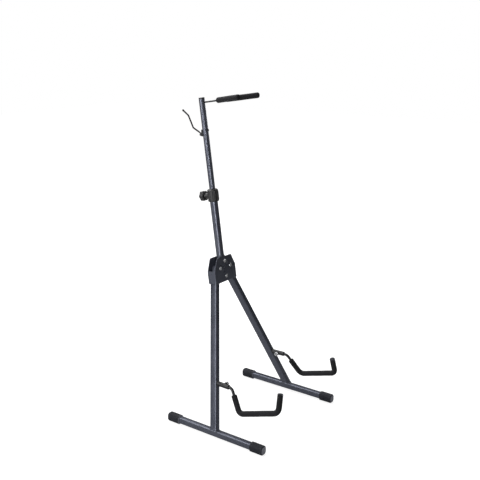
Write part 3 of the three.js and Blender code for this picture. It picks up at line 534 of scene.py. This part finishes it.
# %% Knurled heads
def knurled(outline, count, depth, sides=192):
    """A turned head with straight ridges on its side, where the radius is near its largest."""
    outline = filled(outline, 0.5)
    widest = outline[:, 0].max()

    def ridges(angle, height, radius):
        share = np.clip((radius - widest + 0.8) / 0.8, 0, 1)
        return -depth * (1 - np.cos(count * angle)) / 2 * share

    return turned(outline, sides, ridges)


def inwards(grid):
    """A form made along +z, turned so that its z runs inwards, along -x."""
    return np.stack([-grid[..., 2], grid[..., 0], -grid[..., 1]], axis=-1)


SOCKET_LONG = 44
SCREW_Y = -LEG_FACE - GAP - SOCKET_LONG / 2
screw_head = rounded([[0, 11.8], [6, 11.8], [6, 19.8], [4.4, 19.8], [4.4, 19.2], [0, 19.2]],
                     [0.8, 0.8, 0.2, 0.2], steps=5)
screw_shank = rounded([[0, 5], [2.5, 5], [2.5, 12.2], [0, 12.2]], [0.8, 0], steps=3)
for side, sign in SIDES:
    forms = [at_socket(sign, inwards(form) + np.array([0, SCREW_Y, 0]))
             for form in (knurled(screw_head, count=24, depth=0.5), turned(screw_shank, 36))]
    piece(f"lock_screw_{side}", forms, zinc_plate, f"arm_lock_{side}",
          f"arm_lock_screw_{side}", slot="zinc")
print("locking screw faces:", made["lock_screw_left"])

# %% [markdown]
# ## Sockets and legs, with their welds
# A socket's tube is cut at a slant to lie on the leg's face. A leg is a rounded rectangle
# carried up a line that leans two ways, cut level at the foot, and rounded over at its pivot. A
# weld is a thin bead round each joint, with the small even steps that a torch leaves.


# %% Rounded rectangles and beads
def box_ring(width, height, radius, steps=6):
    """Corner centres and unit directions for a rounded rectangle, so that insets are easy."""
    turn = (np.arange(4)[:, None] + np.linspace(0, 1, steps + 1)[None]) * np.pi / 2
    way = np.stack([np.cos(turn), np.sin(turn)], axis=-1).reshape(-1, 2)
    corner = np.repeat([[1, 1], [-1, 1], [-1, -1], [1, -1]], steps + 1, axis=0)
    centre = corner * np.array([width / 2 - radius, height / 2 - radius])
    return centre, way


def middle_of(rings):
    """A ring shrunk to its own middle, which closes an end."""
    return np.broadcast_to(rings.mean(axis=1, keepdims=True), rings.shape)


def closed(rings):
    """Rings with both of their ends closed."""
    return np.concatenate([middle_of(rings[:1]), rings, middle_of(rings[-1:])])


def bead(line, outward, upward, radius, sides=14):
    """A ring-shaped bead: a small circle carried once round a closed line."""
    turn = np.append(angles(sides), 0)[:, None, None]
    reach = np.broadcast_to(radius, len(line))[None, :, None]
    return line[None] + reach * (np.cos(turn) * outward[None] + np.sin(turn) * upward[None])


# %% Sockets
SOCKET_RADIUS = 7.5


def slant(points):
    """How far back a point of the socket must reach to touch the leaning front of the leg."""
    return -LEG_FACE + points[..., 2] * math.tan(LEG_LEAN)


def socket_tube():
    """A tube with rounded lips, its far ring moved to the slanted face of the leg."""
    front = -LEG_FACE - GAP - SOCKET_LONG
    outline = rounded([[4.95, front + 9], [4.95, front], [SOCKET_RADIUS, front],
                       [SOCKET_RADIUS, front + 40], [0, front + 40]], [0.4, 0.9, 0], steps=5)
    grid = to_back(turned(outline, 64))
    grid[-2:, :, 1] = slant(grid[-2:]) + GAP
    return grid


socket_boss = inwards(turned(rounded([[0, 6.8], [5, 6.8], [5, 11.5], [2.8, 11.5], [2.8, 8],
                                      [0, 8]], [0, 0.7, 0.3, 0], steps=4), 40))
socket_boss = socket_boss + np.array([0, SCREW_Y, 0])
ring_turn = angles(160)[:, None]
ring_out = np.concatenate([np.cos(ring_turn), 0 * ring_turn, np.sin(ring_turn)], axis=1)
ring_line = ring_out * SOCKET_RADIUS
ring_line[:, 1] = slant(ring_line) - 0.2
ring_size = 1.25 + 0.16 * np.sin(22 * ring_turn[:, 0]) + 0.08 * np.sin(3 * ring_turn[:, 0])
ring_up = np.broadcast_to([0, -1.0, 0], ring_out.shape)
socket_weld = bead(ring_line, ring_out, ring_up, ring_size)
for side, sign in SIDES:
    forms = [at_socket(sign, form) for form in (socket_tube(), socket_boss, socket_weld)]
    piece(f"socket_{side}", forms, black_paint, f"leg_{side}", f"arm_socket_{side}",
          slot="black_paint")
print("socket faces:", made["socket_left"])

# %% Legs
LEG_WIDE = 18
LEG_DEEP = 25
LEG_ROUND = 2.5
PIVOT_X = 26
TOP_RINGS = 11
LEG_LOWER = (KINK - LEG_BASE) / np.linalg.norm(KINK - LEG_BASE)
SPLAY = math.asin(abs(LEG_LOWER[0]))
POST_UP = np.array([0, math.sin(LEAN), math.cos(LEAN)])
LEG_UPPER = POST_UP * math.cos(SPLAY) - np.array([math.sin(SPLAY), 0, 0])
PIVOT = KINK + LEG_UPPER * (KINK[0] - PIVOT_X) / math.sin(SPLAY)


def leg_skin():
    """Rings of a rounded rectangle, at right angles to the path but for the level one below.

    The last rings narrow as the cosine over the pivot, which rounds the top.
    """
    path = filled(rounded([LEG_BASE, KINK, PIVOT], radius=60, steps=10), step=12)
    lift = np.sin(np.linspace(0, np.pi / 2, TOP_RINGS + 1))[1:, None]
    narrow = np.sqrt(np.clip(1 - lift[:, 0] ** 2, 0, 1))
    width = np.concatenate([np.ones(len(path)), narrow])
    path = np.concatenate([path, PIVOT + LEG_UPPER * LEG_WIDE / 2 * lift])
    heading = np.gradient(path, axis=0)
    heading[0] = LEG_LOWER
    heading[-TOP_RINGS - 1:] = LEG_UPPER
    heading /= np.linalg.norm(heading, axis=1, keepdims=True)
    back = np.stack([0 * heading[:, 0], heading[:, 2], -heading[:, 1]], axis=1)
    back /= np.linalg.norm(back, axis=1, keepdims=True)
    across = np.cross(back, heading)
    centre, way = box_ring(LEG_WIDE, LEG_DEEP, LEG_ROUND)
    flat = centre + way * LEG_ROUND
    rings = (path[:, None] + flat[None, :, :1] * across[:, None] * width[:, None, None]
             + flat[None, :, 1:] * back[:, None])
    climb = (LEG_BASE[2] - rings[0, :, 2]) / LEG_LOWER[2]
    rings[0] += climb[:, None] * LEG_LOWER
    return np.concatenate([middle_of(rings[:1]), rings]), rings[0]


def foot_weld(outline):
    """A full bead across the front and back of a leg's foot, and a thin one along its sides."""
    line = filled(np.concatenate([outline, outline[:1]]), 0.7)[:-1]
    away = line - line.mean(axis=0)
    out = np.stack([0.25 * np.sign(away[:, 0]) * (np.abs(away[:, 0]) > 8.5),
                    np.sign(away[:, 1]) * (np.abs(away[:, 1]) > 11), 0 * away[:, 0]], axis=1)
    reach = np.linalg.norm(out, axis=1)
    radius = (1.5 + 0.18 * np.sin(np.arange(len(line)) * 2.1)) * np.clip(reach, 0.12, 1)
    out = out / np.maximum(reach, 0.01)[:, None]
    upward = np.broadcast_to([0, 0, 1.0], out.shape)
    return bead(line + np.array([0, 0, 0.2]), out, upward, radius)


leg_grid, leg_foot_line = leg_skin()
leg_weld = foot_weld(leg_foot_line)
for side, sign in SIDES:
    forms = [in_stand(form * np.array([sign, 1, 1])) for form in (leg_grid, leg_weld)]
    piece(f"leg_{side}_tube", forms, powder_coat, f"leg_{side}", f"leg_tube_{side}",
          slot="painted_steel")
print("leg faces:", made["leg_left_tube"], "- pivot at", PIVOT.round(2))

# %% [markdown]
# ## The feet
# A foot is a level tube of rounded rectangular section, and a rubber cap covers each end. The
# caps have fine ribs round them for grip, a flat sole and a slightly dished end.

# %% Foot tubes
BAR_HALF = 181.5


def box_rings(width, height, radius, stations, steps=6):
    """Rings at (distance, inset) along y; the inset draws the whole outline in evenly."""
    centre, way = box_ring(width, height, radius, steps)
    distance, inset = np.asarray(stations, float).T
    flat = centre[None] + way[None] * (radius - inset)[:, None, None]
    y = np.broadcast_to(distance[:, None], flat.shape[:2])
    return np.stack([flat[..., 0], y, flat[..., 1]], axis=-1)


def on_foot(sign, rings):
    """Rings about a foot's middle line, placed on one side."""
    return in_stand(rings + np.array([sign * FOOT_X, 0, FOOT_Z]))


def foot_bar(sign):
    """A bar closed at both ends, because each end is inside a rubber cap."""
    run = np.linspace(-BAR_HALF, BAR_HALF, 60)
    rings = box_rings(LEG_WIDE, FOOT_TALL, 3, np.stack([run, 0 * run], axis=1), 8)
    return on_foot(sign, closed(rings))


# %% The rubber caps
CAP_START = 139.5
CAP_BODY = 40.5
CAP_NOSE = 5.5
GROOVE_DEPTH = 0.55
GROOVE_PITCH = 3.4


def foot_cap(sign, end):
    """Ribs are a wave of the inset along the cap, and its end is rounded and dished."""
    body = np.linspace(1.2, CAP_BODY, 206)
    wave = np.clip(np.cos((body - 6) * 2 * np.pi / GROOVE_PITCH), -0.2, 1)
    groove = np.where((body > 5.2) & (body < 38.3), GROOVE_DEPTH * wave ** 2, 0)
    turn = np.linspace(0, np.pi / 2, 8)[1:]
    nose = np.stack([CAP_BODY + CAP_NOSE * np.sin(turn), CAP_NOSE * (1 - np.cos(turn))], axis=1)
    stations = np.concatenate([[[0.0, 4.3], [0.0, 0.9], [0.35, 0.25]],
                               np.stack([body, groove], axis=1), nose,
                               [[45.8, 6.1], [45.2, 7.0]]])
    rings = box_rings(26, 29, 10.5, stations, 10)
    sole = (rings[..., 2] < -13.9) & (stations[:, 0] < CAP_BODY)[:, None]
    rings[..., 2] = np.where(sole, -FOOT_Z, rings[..., 2])
    rings = closed(rings)
    rings[0, :, 1] += 3.0
    rings[..., 1] = end * (rings[..., 1] + CAP_START)
    return on_foot(sign, rings)


for side, sign in SIDES:
    piece(f"foot_bar_{side}", [foot_bar(sign)], powder_coat, f"leg_{side}",
          f"foot_tube_{side}", slot="painted_steel")
    for word, end in (("front", -1), ("back", 1)):
        piece(f"foot_grip_{word}_{side}", [foot_cap(sign, end)], cap_rubber, f"leg_{side}",
              f"foot_cap_{word}_{side}", slot="rubber")
print("cap faces:", made["foot_grip_front_left"])

# %% [markdown]
# ## The hub
# Two sheets of steel hold the legs and the post between them. The front one is folded back at
# its sides, where the open legs rest. It is drawn as one surface along the middle of the sheet,
# then given its thickness and its softened edges.

# %% The outline of the sheets
HALF = 55.911
SHEET = 2.0
sheet_corners = np.array([[HALF, -1.0], [HALF, 41], [37, 81], [-37, 81], [-HALF, 41],
                          [-HALF, -1]])


def cornered(corners, reach=5.0, steps=8):
    """A closed outline whose corners are rounded by quadratic curves."""
    before = np.roll(corners, 1, axis=0) - corners
    after = np.roll(corners, -1, axis=0) - corners
    enter = corners + before / np.linalg.norm(before, axis=1, keepdims=True) * reach
    leave = corners + after / np.linalg.norm(after, axis=1, keepdims=True) * reach
    t = np.linspace(0, 1, steps + 1)[None, :, None]
    curve = ((1 - t) ** 2 * enter[:, None] + 2 * t * (1 - t) * corners[:, None]
             + t * t * leave[:, None])
    return curve.reshape(-1, 2)


def sorted_by_x(points):
    """Points in the order of their x, as one row of x and one of z."""
    return points[np.argsort(points[:, 0])].T


sheet_outline = cornered(sheet_corners)
right_half = sheet_outline[sheet_outline[:, 0] >= 0]
lower_edge = sorted_by_x(right_half[right_half[:, 1] < 6])
upper_edge = sorted_by_x(right_half[right_half[:, 1] > 30])
print("outline points:", len(sheet_outline))


# %% The folded front sheet and the flat back one
def hub_front():
    """Columns run round the folded section, rows from the lower edge to the upper one."""
    edge = HALF - 1
    section = filled(rounded([[edge, 13.0], [edge, -14.3], [-edge, -14.3], [-edge, 13.0]],
                             2.0, steps=6), 1.6)
    reach = np.abs(section[:, 0])
    low = np.interp(reach, *lower_edge)
    high = np.interp(reach, *upper_edge)
    share = np.linspace(0, 1, 30)[:, None]
    z = low[None] + share * (high - low)[None]
    x, y = (np.broadcast_to(column[None], z.shape) for column in section.T)
    return in_post(np.stack([x, y, z], axis=-1))


front_sheet = piece("hub_front", [hub_front()], powder_coat, "hub", "hub_channel",
                    slot="painted_steel", ring=False)
thick = front_sheet.modifiers.new("thickness", "SOLIDIFY")
thick.thickness = SHEET * MM
thick.offset = 0
soft = front_sheet.modifiers.new("edges", "BEVEL")
soft.width = 0.4 * MM
soft.segments = 2
soft.limit_method = "ANGLE"

sheet_middle = np.array([0, 38.0])
depth, share = np.array([[13.3, 0.0], [13.3, 0.99], [13.45, 0.997], [13.7, 1], [14.9, 1],
                         [15.15, 0.997], [15.3, 0.99], [15.3, 0.0]]).T[:, :, None]
flat = sheet_middle + share[..., None] * (sheet_outline - sheet_middle)[None]
back_sheet = np.stack([flat[..., 0], depth + 0 * flat[..., 0], flat[..., 1]], axis=-1)
piece("hub_back", [in_post(back_sheet)], powder_coat, "hub", "hub_back_plate",
      slot="painted_steel")
print("hub faces:", made["hub_front"], made["hub_back"])

# %% [markdown]
# ## Bolts and nuts
# Button heads with a hexagon socket go through the hub, and a locking nut holds each. A
# hexagon's radius at an angle is its half width over the cosine of the angle to the nearest
# flat. The thread is a wave that climbs by one pitch in each turn.

# %% Bolts and nuts, made along +z
THREAD_PITCH = 1.0
THREAD_DEPTH = 0.3


def hexagon(across, sides):
    """The radius of a hexagon at each angle, from its width across the flats."""
    return across / 2 / np.cos(np.mod(angles(sides), np.pi / 3) - np.pi / 6)


def shaped(rows, sides):
    """Rings about z from (radius, height) rows, where a radius may be one value per angle."""
    reach = np.stack([np.broadcast_to(radius, sides) for radius, _ in rows])
    height = np.array([[level] for _, level in rows])
    return about_z(reach, angles(sides)[None], height)


def button_bolt(radius, head, rise, seat, end, across, sides=60):
    """A domed head in front of its seat, its socket sunk in, and a threaded shank behind.

    radius is the shank's, head is the head's, and across is the width of the socket.
    """
    key = hexagon(across, sides)
    face = seat - rise
    recess = shaped([(0, face + 0.55 * rise), (key, face + 0.5 * rise), (key, face + 0.12),
                     (key + 0.15, face)], sides)
    dome = turned(rounded([[head * 0.5, face], [head, face], [head, seat], [radius, seat]],
                          [rise * 0.75, 0.25], steps=10), sides)
    plain = max(seat + 0.1, end - 9)
    run = np.append(np.linspace(plain, end - 0.8, int((end - plain) / 0.2) + 2), end)
    turn = angles(sides)[None]
    wave = np.abs(np.mod((run[:, None] - plain) / THREAD_PITCH - turn / (2 * np.pi), 1) * 2 - 1)
    reach = radius - THREAD_DEPTH * wave * (run[:, None] > plain + 0.5)
    reach[-1] -= 0.5
    thread = about_z(reach, turn, run[:, None])
    close = np.broadcast_to([0, 0, float(end)], thread[-1:].shape)
    return np.concatenate([recess, dome, thread, close])


def lock_nut(seat, sides=72):
    """Six flats with turned chamfers, and a round collar over the locking ring."""
    key = hexagon(10, sides)
    rows = [(3.2, 0.4), (3.5, 0), (np.minimum(key, 4.85), 0), (np.minimum(key, 5.4), 0.3),
            (key, 0.75), (key, 3.9), (np.minimum(key, 5.4), 4.35), (np.minimum(key, 4.85), 4.6),
            (4.3, 4.75), (4.2, 5.4), (4.05, 6.1), (3.7, 6.5), (3.3, 6.45), (3.1, 6.0), (3.1, 0.4),
            (3.2, 0.4)]
    return shaped([(radius, seat + level) for radius, level in rows], sides)


# %% Place them in the hub
LEG_PIVOT_UP = float((PIVOT - KINK) @ POST_UP)
HUB_FACE = 15.6
BOLTS = {"pivot_left": (-PIVOT_X, LEG_PIVOT_UP), "pivot_right": (PIVOT_X, LEG_PIVOT_UP),
         "post_lower": (0, 16), "post_upper": (0, 66)}
for name, (x, z) in BOLTS.items():
    move = np.array([x, 0, z])
    bolt = to_back(button_bolt(radius=3, head=5.75, rise=3.4, seat=-HUB_FACE, end=23.6, across=4.0))
    nut = to_back(lock_nut(HUB_FACE))
    piece(f"button_bolt_{name}", [in_post(bolt + move)], zinc_plate, "hub", f"bolt_{name}",
          slot="zinc")
    piece(f"lock_nut_{name}", [in_post(nut + move)], zinc_plate, "hub", f"nut_{name}",
          slot="zinc")
print("bolt and nut faces:", made["button_bolt_post_lower"], made["lock_nut_post_lower"])

# %% [markdown]
# ## The post
# Two round tubes slide one in the other. A real tube's end is turned slightly over its edge, so
# the ring at the top is not razor sharp.

# %% The two tubes and their plugs
LOWER_RADIUS = 12.7
UPPER_RADIUS = 9.5
POST_TOP = 587


def tube(outer, wall, bottom, top):
    """A tube's whole skin: up the outside, over a rounded rim, down the bore and back."""
    half = wall / 2
    outline = rounded([[outer - half, bottom], [outer, bottom], [outer, top],
                       [outer - wall, top], [outer - wall, bottom], [outer - half, bottom]],
                      0.4, steps=4)
    return turned(filled(outline, 40), 96)


lower_tube = tube(LOWER_RADIUS, wall=1.5, bottom=3, top=292)
piece("outer_tube", [in_post(lower_tube)], powder_coat, "hub", "lower_post_tube",
      slot="painted_steel")
upper_tube = tube(UPPER_RADIUS, wall=1.2, bottom=146, top=POST_TOP)
piece("inner_tube", [in_post(upper_tube)], powder_coat, "upper_post", "upper_post_tube",
      slot="painted_steel")
upper_plug = rounded([[0, 559.3], [8, 559.3], [8, POST_TOP], [UPPER_RADIUS, POST_TOP],
                      [UPPER_RADIUS, 591.5], [0, 591.5]], [1, 0, 0.15, 1.2], steps=6)
piece("post_plug", [in_post(turned(upper_plug, 72))], grained_plastic, "upper_post",
      "top_plug", slot="plastic")
lower_plug = rounded([[0, 0.2], [LOWER_RADIUS, 0.2], [LOWER_RADIUS, 2.7], [10.9, 2.7],
                      [10.9, 12.7], [0, 12.7]], [1.2, 0.2, 0, 0.8], steps=6)
piece("floor_plug", [in_post(turned(lower_plug, 72))], grained_plastic, "hub",
      "lower_post_plug", slot="plastic")
print("post pieces:", made["outer_tube"], made["inner_tube"], made["post_plug"])

# %% [markdown]
# ## The clamp and its knob
# The collar at the top of the lower tube is a moulding with grip ribs in front and a boss
# at the back. The knob's six lobes are a wave in its radius.

# %% Collar
CLAMP_Z = 280
COLLAR_RADIUS = 17.5
RIB_RADIUS = 1.2


def ribs(angle, height, radius):
    """Seven round ribs over 0.58 of the way round, each a half circle, centred on the front."""
    pitch = 0.58 * 2 * np.pi / 7
    turn = np.mod(angle - np.pi / 2, 2 * np.pi) - np.pi
    nearest = np.clip(np.round(turn / pitch), -3, 3) * pitch
    across = (turn - nearest) * COLLAR_RADIUS
    rise = np.sqrt(np.clip(RIB_RADIUS ** 2 - across ** 2, 0, None))
    shaft = np.clip((height - 265.5) / 1.5, 0, 1) * np.clip((296.5 - height) / 1.5, 0, 1)
    return rise * shaft * (radius > 17)


collar_outline = filled(rounded(
    [[13, 270], [13, 262], [COLLAR_RADIUS, 262], [COLLAR_RADIUS, 299.5], [13.8, 302],
     [9.8, 302], [9.8, 292.3], [13, 292.3], [13, 270]], [0.5, 1.8, 3, 1, 0.5, 0, 0], steps=8), 1.0)
boss = rounded([[0, 14], [8.5, 14], [8.5, 25], [3.3, 25], [3.3, 15], [0, 15]],
               [0, 1.4, 0.5, 0], steps=6)
boss_skin = to_back(turned(boss, 60)) + np.array([0, 0, CLAMP_Z])
piece("collar", [in_post(turned(collar_outline, 360, ribs)), in_post(boss_skin)],
      grained_plastic, "hub", "clamp_collar", slot="plastic")
print("collar faces:", made["collar"])

# %% Knob
LOBE_DEPTH = 2.2
knob_outline = np.concatenate([[[0, 38], [3.3, 38]], rounded(
    [[3.3, 25.3], [7.5, 25.3], [8.5, 30.3], [14.5, 30.3], [17, 32.5], [17, 45.3], [14.5, 47.3],
     [0, 47.3]], [0.4, 1.2, 1.2, 1.8, 1.8, 2.5], steps=6)])


def lobes(angle, height, radius):
    """Six shallow hollows round the grip, none on the stem."""
    grip = np.clip((radius - 9) / 6, 0, 1) * (height > 30)
    return -LOBE_DEPTH * (1 - np.cos(6 * angle)) / 2 * grip


knob = to_back(turned(filled(knob_outline, 1.5), 180, lobes)) + np.array([0, 0, CLAMP_Z])
piece("clamp_knob", [in_post(knob)], grained_plastic, "height_clamp", "height_knob",
      slot="plastic")
print("knob faces:", made["clamp_knob"])

# %% [markdown]
# ## The fork
# One round wire makes both prongs. It turns back on itself in the plug at the top of the post,
# and the prongs part in front of it. Each prong ends in a foam sleeve with a rounded tip.

# %% The fork's path
FORK_Z = POST_TOP - 11
FORK_X = 2.8
FORK_WIRE = 2.5
WIRE_REACH = 175
SPREAD = math.radians(16)
PITCH = math.radians(0.9)


def prong(sign, along):
    """A point on a prong's middle line, in the post's frame."""
    return np.array([sign * (FORK_X + along * math.sin(SPREAD)),
                     -11.5 - along * math.cos(SPREAD) * math.cos(PITCH),
                     FORK_Z + along * math.sin(PITCH)])


fork_path = rounded([prong(1, WIRE_REACH), prong(1, 0), [FORK_X, 3.5, FORK_Z],
                     [-FORK_X, 3.5, FORK_Z], prong(-1, 0), prong(-1, WIRE_REACH)],
                    [10, 2.79, 2.79, 10], steps=12)
print("fork wire length, mm:", round(length_of(fork_path)))

# %% The wire and its foam
UPRIGHT = np.array([0, 0, 1.0])
SLEEVE_FROM = 72
SLEEVE_LONG = 107
SLEEVE_RADIUS = 8.75


def prong_foam(sign):
    """Rounded at the mouth, and a blunt dome over the end of the wire with a small dimple."""
    path = np.stack([prong(sign, SLEEVE_FROM), prong(sign, SLEEVE_FROM + SLEEVE_LONG)])
    outline = rounded([[3, 0], [3, 2.4], [0, 3.0], [0, SLEEVE_RADIUS],
                       [SLEEVE_LONG, SLEEVE_RADIUS], [SLEEVE_LONG, 1.8], [SLEEVE_LONG - 0.8, 0]],
                      [0, 0, 2.4, 5.4, 0.6], steps=10)

    def swell(distance, angle, radius):
        uneven = 0.1 * np.sin(distance * 0.09 + sign) * np.sin(angle * 2 + distance * 0.03)
        return (uneven - 0.08) * (radius > 7)

    return in_post(carried(path, UPRIGHT, filled(outline, 1.2), 64, swell))


fork_rod = rod(fork_path, UPRIGHT, FORK_WIRE, step=1.0)
piece("fork_rod", [in_post(fork_rod)], black_paint, "upper_post", "fork_wire",
      slot="black_paint")
for side, sign in SIDES:
    sleeve = piece(f"fork_sleeve_{side}", [prong_foam(sign)], sleeve_foam, "upper_post",
                   f"fork_foam_{side}", slot="foam")
print("fork pieces:", made["fork_rod"], made["fork_sleeve_left"])

# %% [markdown]
# ## The hook
# A moulded saddle is bolted to the back of the post. A thin wire goes round a pin below the
# bolt, climbs, and turns back behind the post, and a small knurled knob clamps it. The wire is
# dipped in a soft coat from 12 mm along it on, which gathers in a drop at its free end.

# %% The saddle and its bolt
SADDLE_Z = 483
SADDLE_ROUND = 4.5
SADDLE_BACK = 12.5


def saddle_skin():
    """Rings of (inset, depth): depth 0 lies on the post's round face, depth 10 is flat."""
    centre, way = box_ring(15, 20, SADDLE_ROUND, 8)
    insets = rounded([[0.5, 0], [0, 0.4], [0, 10], [4.4, 10]], [0, 1.3], steps=6)
    inset, share = insets[:, 0], np.clip(insets[:, 1] / 10, 0, 1)
    flat = centre[None] + way[None] * (SADDLE_ROUND - inset)[:, None, None]
    face = np.sqrt(np.clip((UPPER_RADIUS + GAP) ** 2 - flat[..., 0] ** 2, 0, None))
    y = face + share[:, None] * (SADDLE_BACK - face)
    return closed(np.stack([flat[..., 0], y, flat[..., 1]], axis=-1))


piece("saddle", [in_post(saddle_skin() + np.array([0, 0, SADDLE_Z]))], grained_plastic,
      "upper_post", "hook_saddle", slot="plastic")
saddle_bolt = to_back(button_bolt(radius=2.5, head=4.2, rise=2.6, seat=-9.8, end=12.2,
                                  across=2.9))
piece("saddle_bolt", [in_post(saddle_bolt + np.array([0, 0, SADDLE_Z + 6]))], black_paint,
      "upper_post", "hook_bolt", slot="black_paint")
swivel_pin = rounded([[0, 10.1], [2, 10.1], [2, 21.3], [0, 21.3]], [0.4, 0.6], steps=4)
PIN_UP = np.array([0, 0, SADDLE_Z - 6])
piece("swivel_pin", [in_post(to_back(turned(swivel_pin, 40)) + PIN_UP)], zinc_plate, "upper_post",
      "hook_pin", slot="zinc")
print("saddle faces:", made["saddle"])

# %% The wire and its knob
EYE_Y = 14.8
EYE = 4.6
HOOK_WIRE = 2.0
HOOK_COAT = 2.5
HOOK_DROP = 3.0
run_long = np.array([36, 42.4, 28.8])
run_slope = np.radians([26.6, 62.8, 34.6]) + LEAN
run_steps = np.stack([0 * run_long, run_long * np.cos(run_slope), run_long * np.sin(run_slope)],
                     axis=1)
run_start = np.array([[-EYE, EYE_Y, 0], [-EYE, EYE_Y, 3.4]])
hook_run = rounded(np.concatenate([run_start, run_start[1:] + np.cumsum(run_steps, axis=0)]), 5,
                   steps=10)
eye_turn = np.linspace(0.3, 1, 60)[:, None] * 2 * np.pi
eye = np.concatenate([-EYE * np.cos(eye_turn), 0 * eye_turn + EYE_Y, EYE * np.sin(eye_turn)],
                     axis=1)
eye_grid = rod(eye, np.array([0, 1.0, 0]), HOOK_WIRE, 24, step=0.6, edge=0.05)
hook_long = length_of(hook_run)
dipped = rounded([[0, 0], [0, HOOK_WIRE], [10, HOOK_WIRE], [12, HOOK_COAT],
                  [hook_long - 7, HOOK_COAT], [hook_long - 6, HOOK_DROP],
                  [hook_long, HOOK_DROP], [hook_long, 0]], [0.05, 1, 1, 0.4, 0.4, 1.5], steps=4)
run_grid = carried(hook_run, np.array([1.0, 0, 0]), filled(dipped, 0.6), 24)
piece("hook_rod", [in_post(eye_grid + PIN_UP), in_post(run_grid + PIN_UP)], dipped_black, "hook",
      "hook_wire", slot="black_paint")
grip_outline = rounded([[0, 17.1], [4.4, 17.1], [4.4, 23.1], [0, 23.1]], [0.7, 0.9], steps=6)
hook_grip = to_back(knurled(grip_outline, count=20, depth=0.35, sides=160))
piece("hook_grip", [in_post(hook_grip + PIN_UP)], grained_plastic, "hook_clamp", "hook_knob",
      slot="plastic")
print("hook pieces:", made["hook_rod"], made["hook_grip"])

# %% [markdown]
# ## Light and floor
# The light in the photograph is soft and comes mostly from the picture's left, so the left
# faces of the tubes are grey and the right ones nearly black. Weak lamps on the other sides keep
# the stand readable from there. The floor is pale and keeps a soft shadow, and it fades to the
# plain white of the world away from the stand.

# %% World
WORLD_LIGHT = 0.03
world = bpy.data.worlds.new("studio")
bpy.context.scene.world = world
world.use_nodes = True
tree = world.node_tree
tree.nodes.clear()
output = tree.nodes.new("ShaderNodeOutputWorld")
mixed = tree.nodes.new("ShaderNodeMixShader")
seen = new_node(tree, "ShaderNodeBackground", Color=(1, 1, 1, 1))
fill = new_node(tree, "ShaderNodeBackground", Color=(0.95, 0.97, 1, 1), Strength=WORLD_LIGHT)
rays = tree.nodes.new("ShaderNodeLightPath")
tree.links.new(rays.outputs["Is Camera Ray"], mixed.inputs["Fac"])
tree.links.new(fill.outputs["Background"], mixed.inputs[1])
tree.links.new(seen.outputs["Background"], mixed.inputs[2])
tree.links.new(mixed.outputs["Shader"], output.inputs["Surface"])
bpy.context.scene.view_settings.view_transform = "Standard"
print("world light:", WORLD_LIGHT)


# %% Lamps
def soft_lamp(name, place, target, size, power):
    """An area lamp of a width and height that faces its target and isn't seen itself."""
    data = bpy.data.lights.new(name, "AREA")
    data.shape = "RECTANGLE"
    data.size, data.size_y = size
    data.energy = power
    lamp = bpy.data.objects.new(name, data)
    lamp.visible_camera = False
    aim = np.subtract(place, target)
    aim = aim / np.linalg.norm(aim)
    lamp.location = place
    lamp.rotation_euler = (math.acos(aim[2]), 0, math.atan2(aim[0], -aim[1]))
    bpy.context.scene.collection.objects.link(lamp)


soft_lamp("key", (-2.9, 0.9, 1.7), (0, 0, 0.5), (2.2, 2.2), 100)
soft_lamp("top", (0.5, 1.5, 2.7), (0, 0, 0.3), (2.4, 2.4), 100)
soft_lamp("strip", (-2.65, -1.55, 0.45), (0, 0, 0.7), (0.3, 1.2), 34)
soft_lamp("side", (2.9, 0.2, 1.6), (0, 0, 0.5), (1.6, 1.6), 35)
soft_lamp("front", (1.4, -2.8, 1.5), (0, 0, 0.5), (1.8, 1.8), 5)

# %% Floor
FAR = 9
floor_mesh = bpy.data.meshes.new("floor")
floor_mesh.from_pydata([(-FAR, -FAR, 0), (FAR, -FAR, 0), (FAR, FAR, 0), (-FAR, FAR, 0)], [],
                       [(0, 1, 2, 3)])
floor = bpy.data.objects.new("floor", floor_mesh)
bpy.context.scene.collection.objects.link(floor)
pale = bpy.data.materials.new("pale_floor")
pale.use_nodes = True
tree = pale.node_tree
shader = tree.nodes["Principled BSDF"]
set_inputs(shader, Base_Color=(0.36, 0.36, 0.36, 1), Roughness=0.9, Specular_IOR_Level=0.1)
place = tree.nodes.new("ShaderNodeTexCoord")
away = tree.nodes.new("ShaderNodeVectorMath")
away.operation = "LENGTH"
fade = new_node(tree, "ShaderNodeMapRange", From_Min=0.3, From_Max=1.2, To_Min=0.8)
rays = tree.nodes.new("ShaderNodeLightPath")
share = tree.nodes.new("ShaderNodeMath")
share.operation = "MULTIPLY"
glow = new_node(tree, "ShaderNodeEmission", Color=(1, 1, 1, 1))
both = tree.nodes.new("ShaderNodeAddShader")
tree.links.new(place.outputs["Object"], away.inputs[0])
tree.links.new(away.outputs["Value"], fade.inputs["Value"])
tree.links.new(fade.outputs["Result"], share.inputs[0])
tree.links.new(rays.outputs["Is Camera Ray"], share.inputs[1])
tree.links.new(share.outputs["Value"], glow.inputs["Strength"])
tree.links.new(shader.outputs["BSDF"], both.inputs[0])
tree.links.new(glow.outputs["Emission"], both.inputs[1])
tree.links.new(both.outputs["Shader"], tree.nodes["Material Output"].inputs["Surface"])
floor_mesh.materials.append(pale)
print("floor side, m:", 2 * FAR)

# %% Finish
print("pieces made:", len(made), "faces:", sum(made.values()))
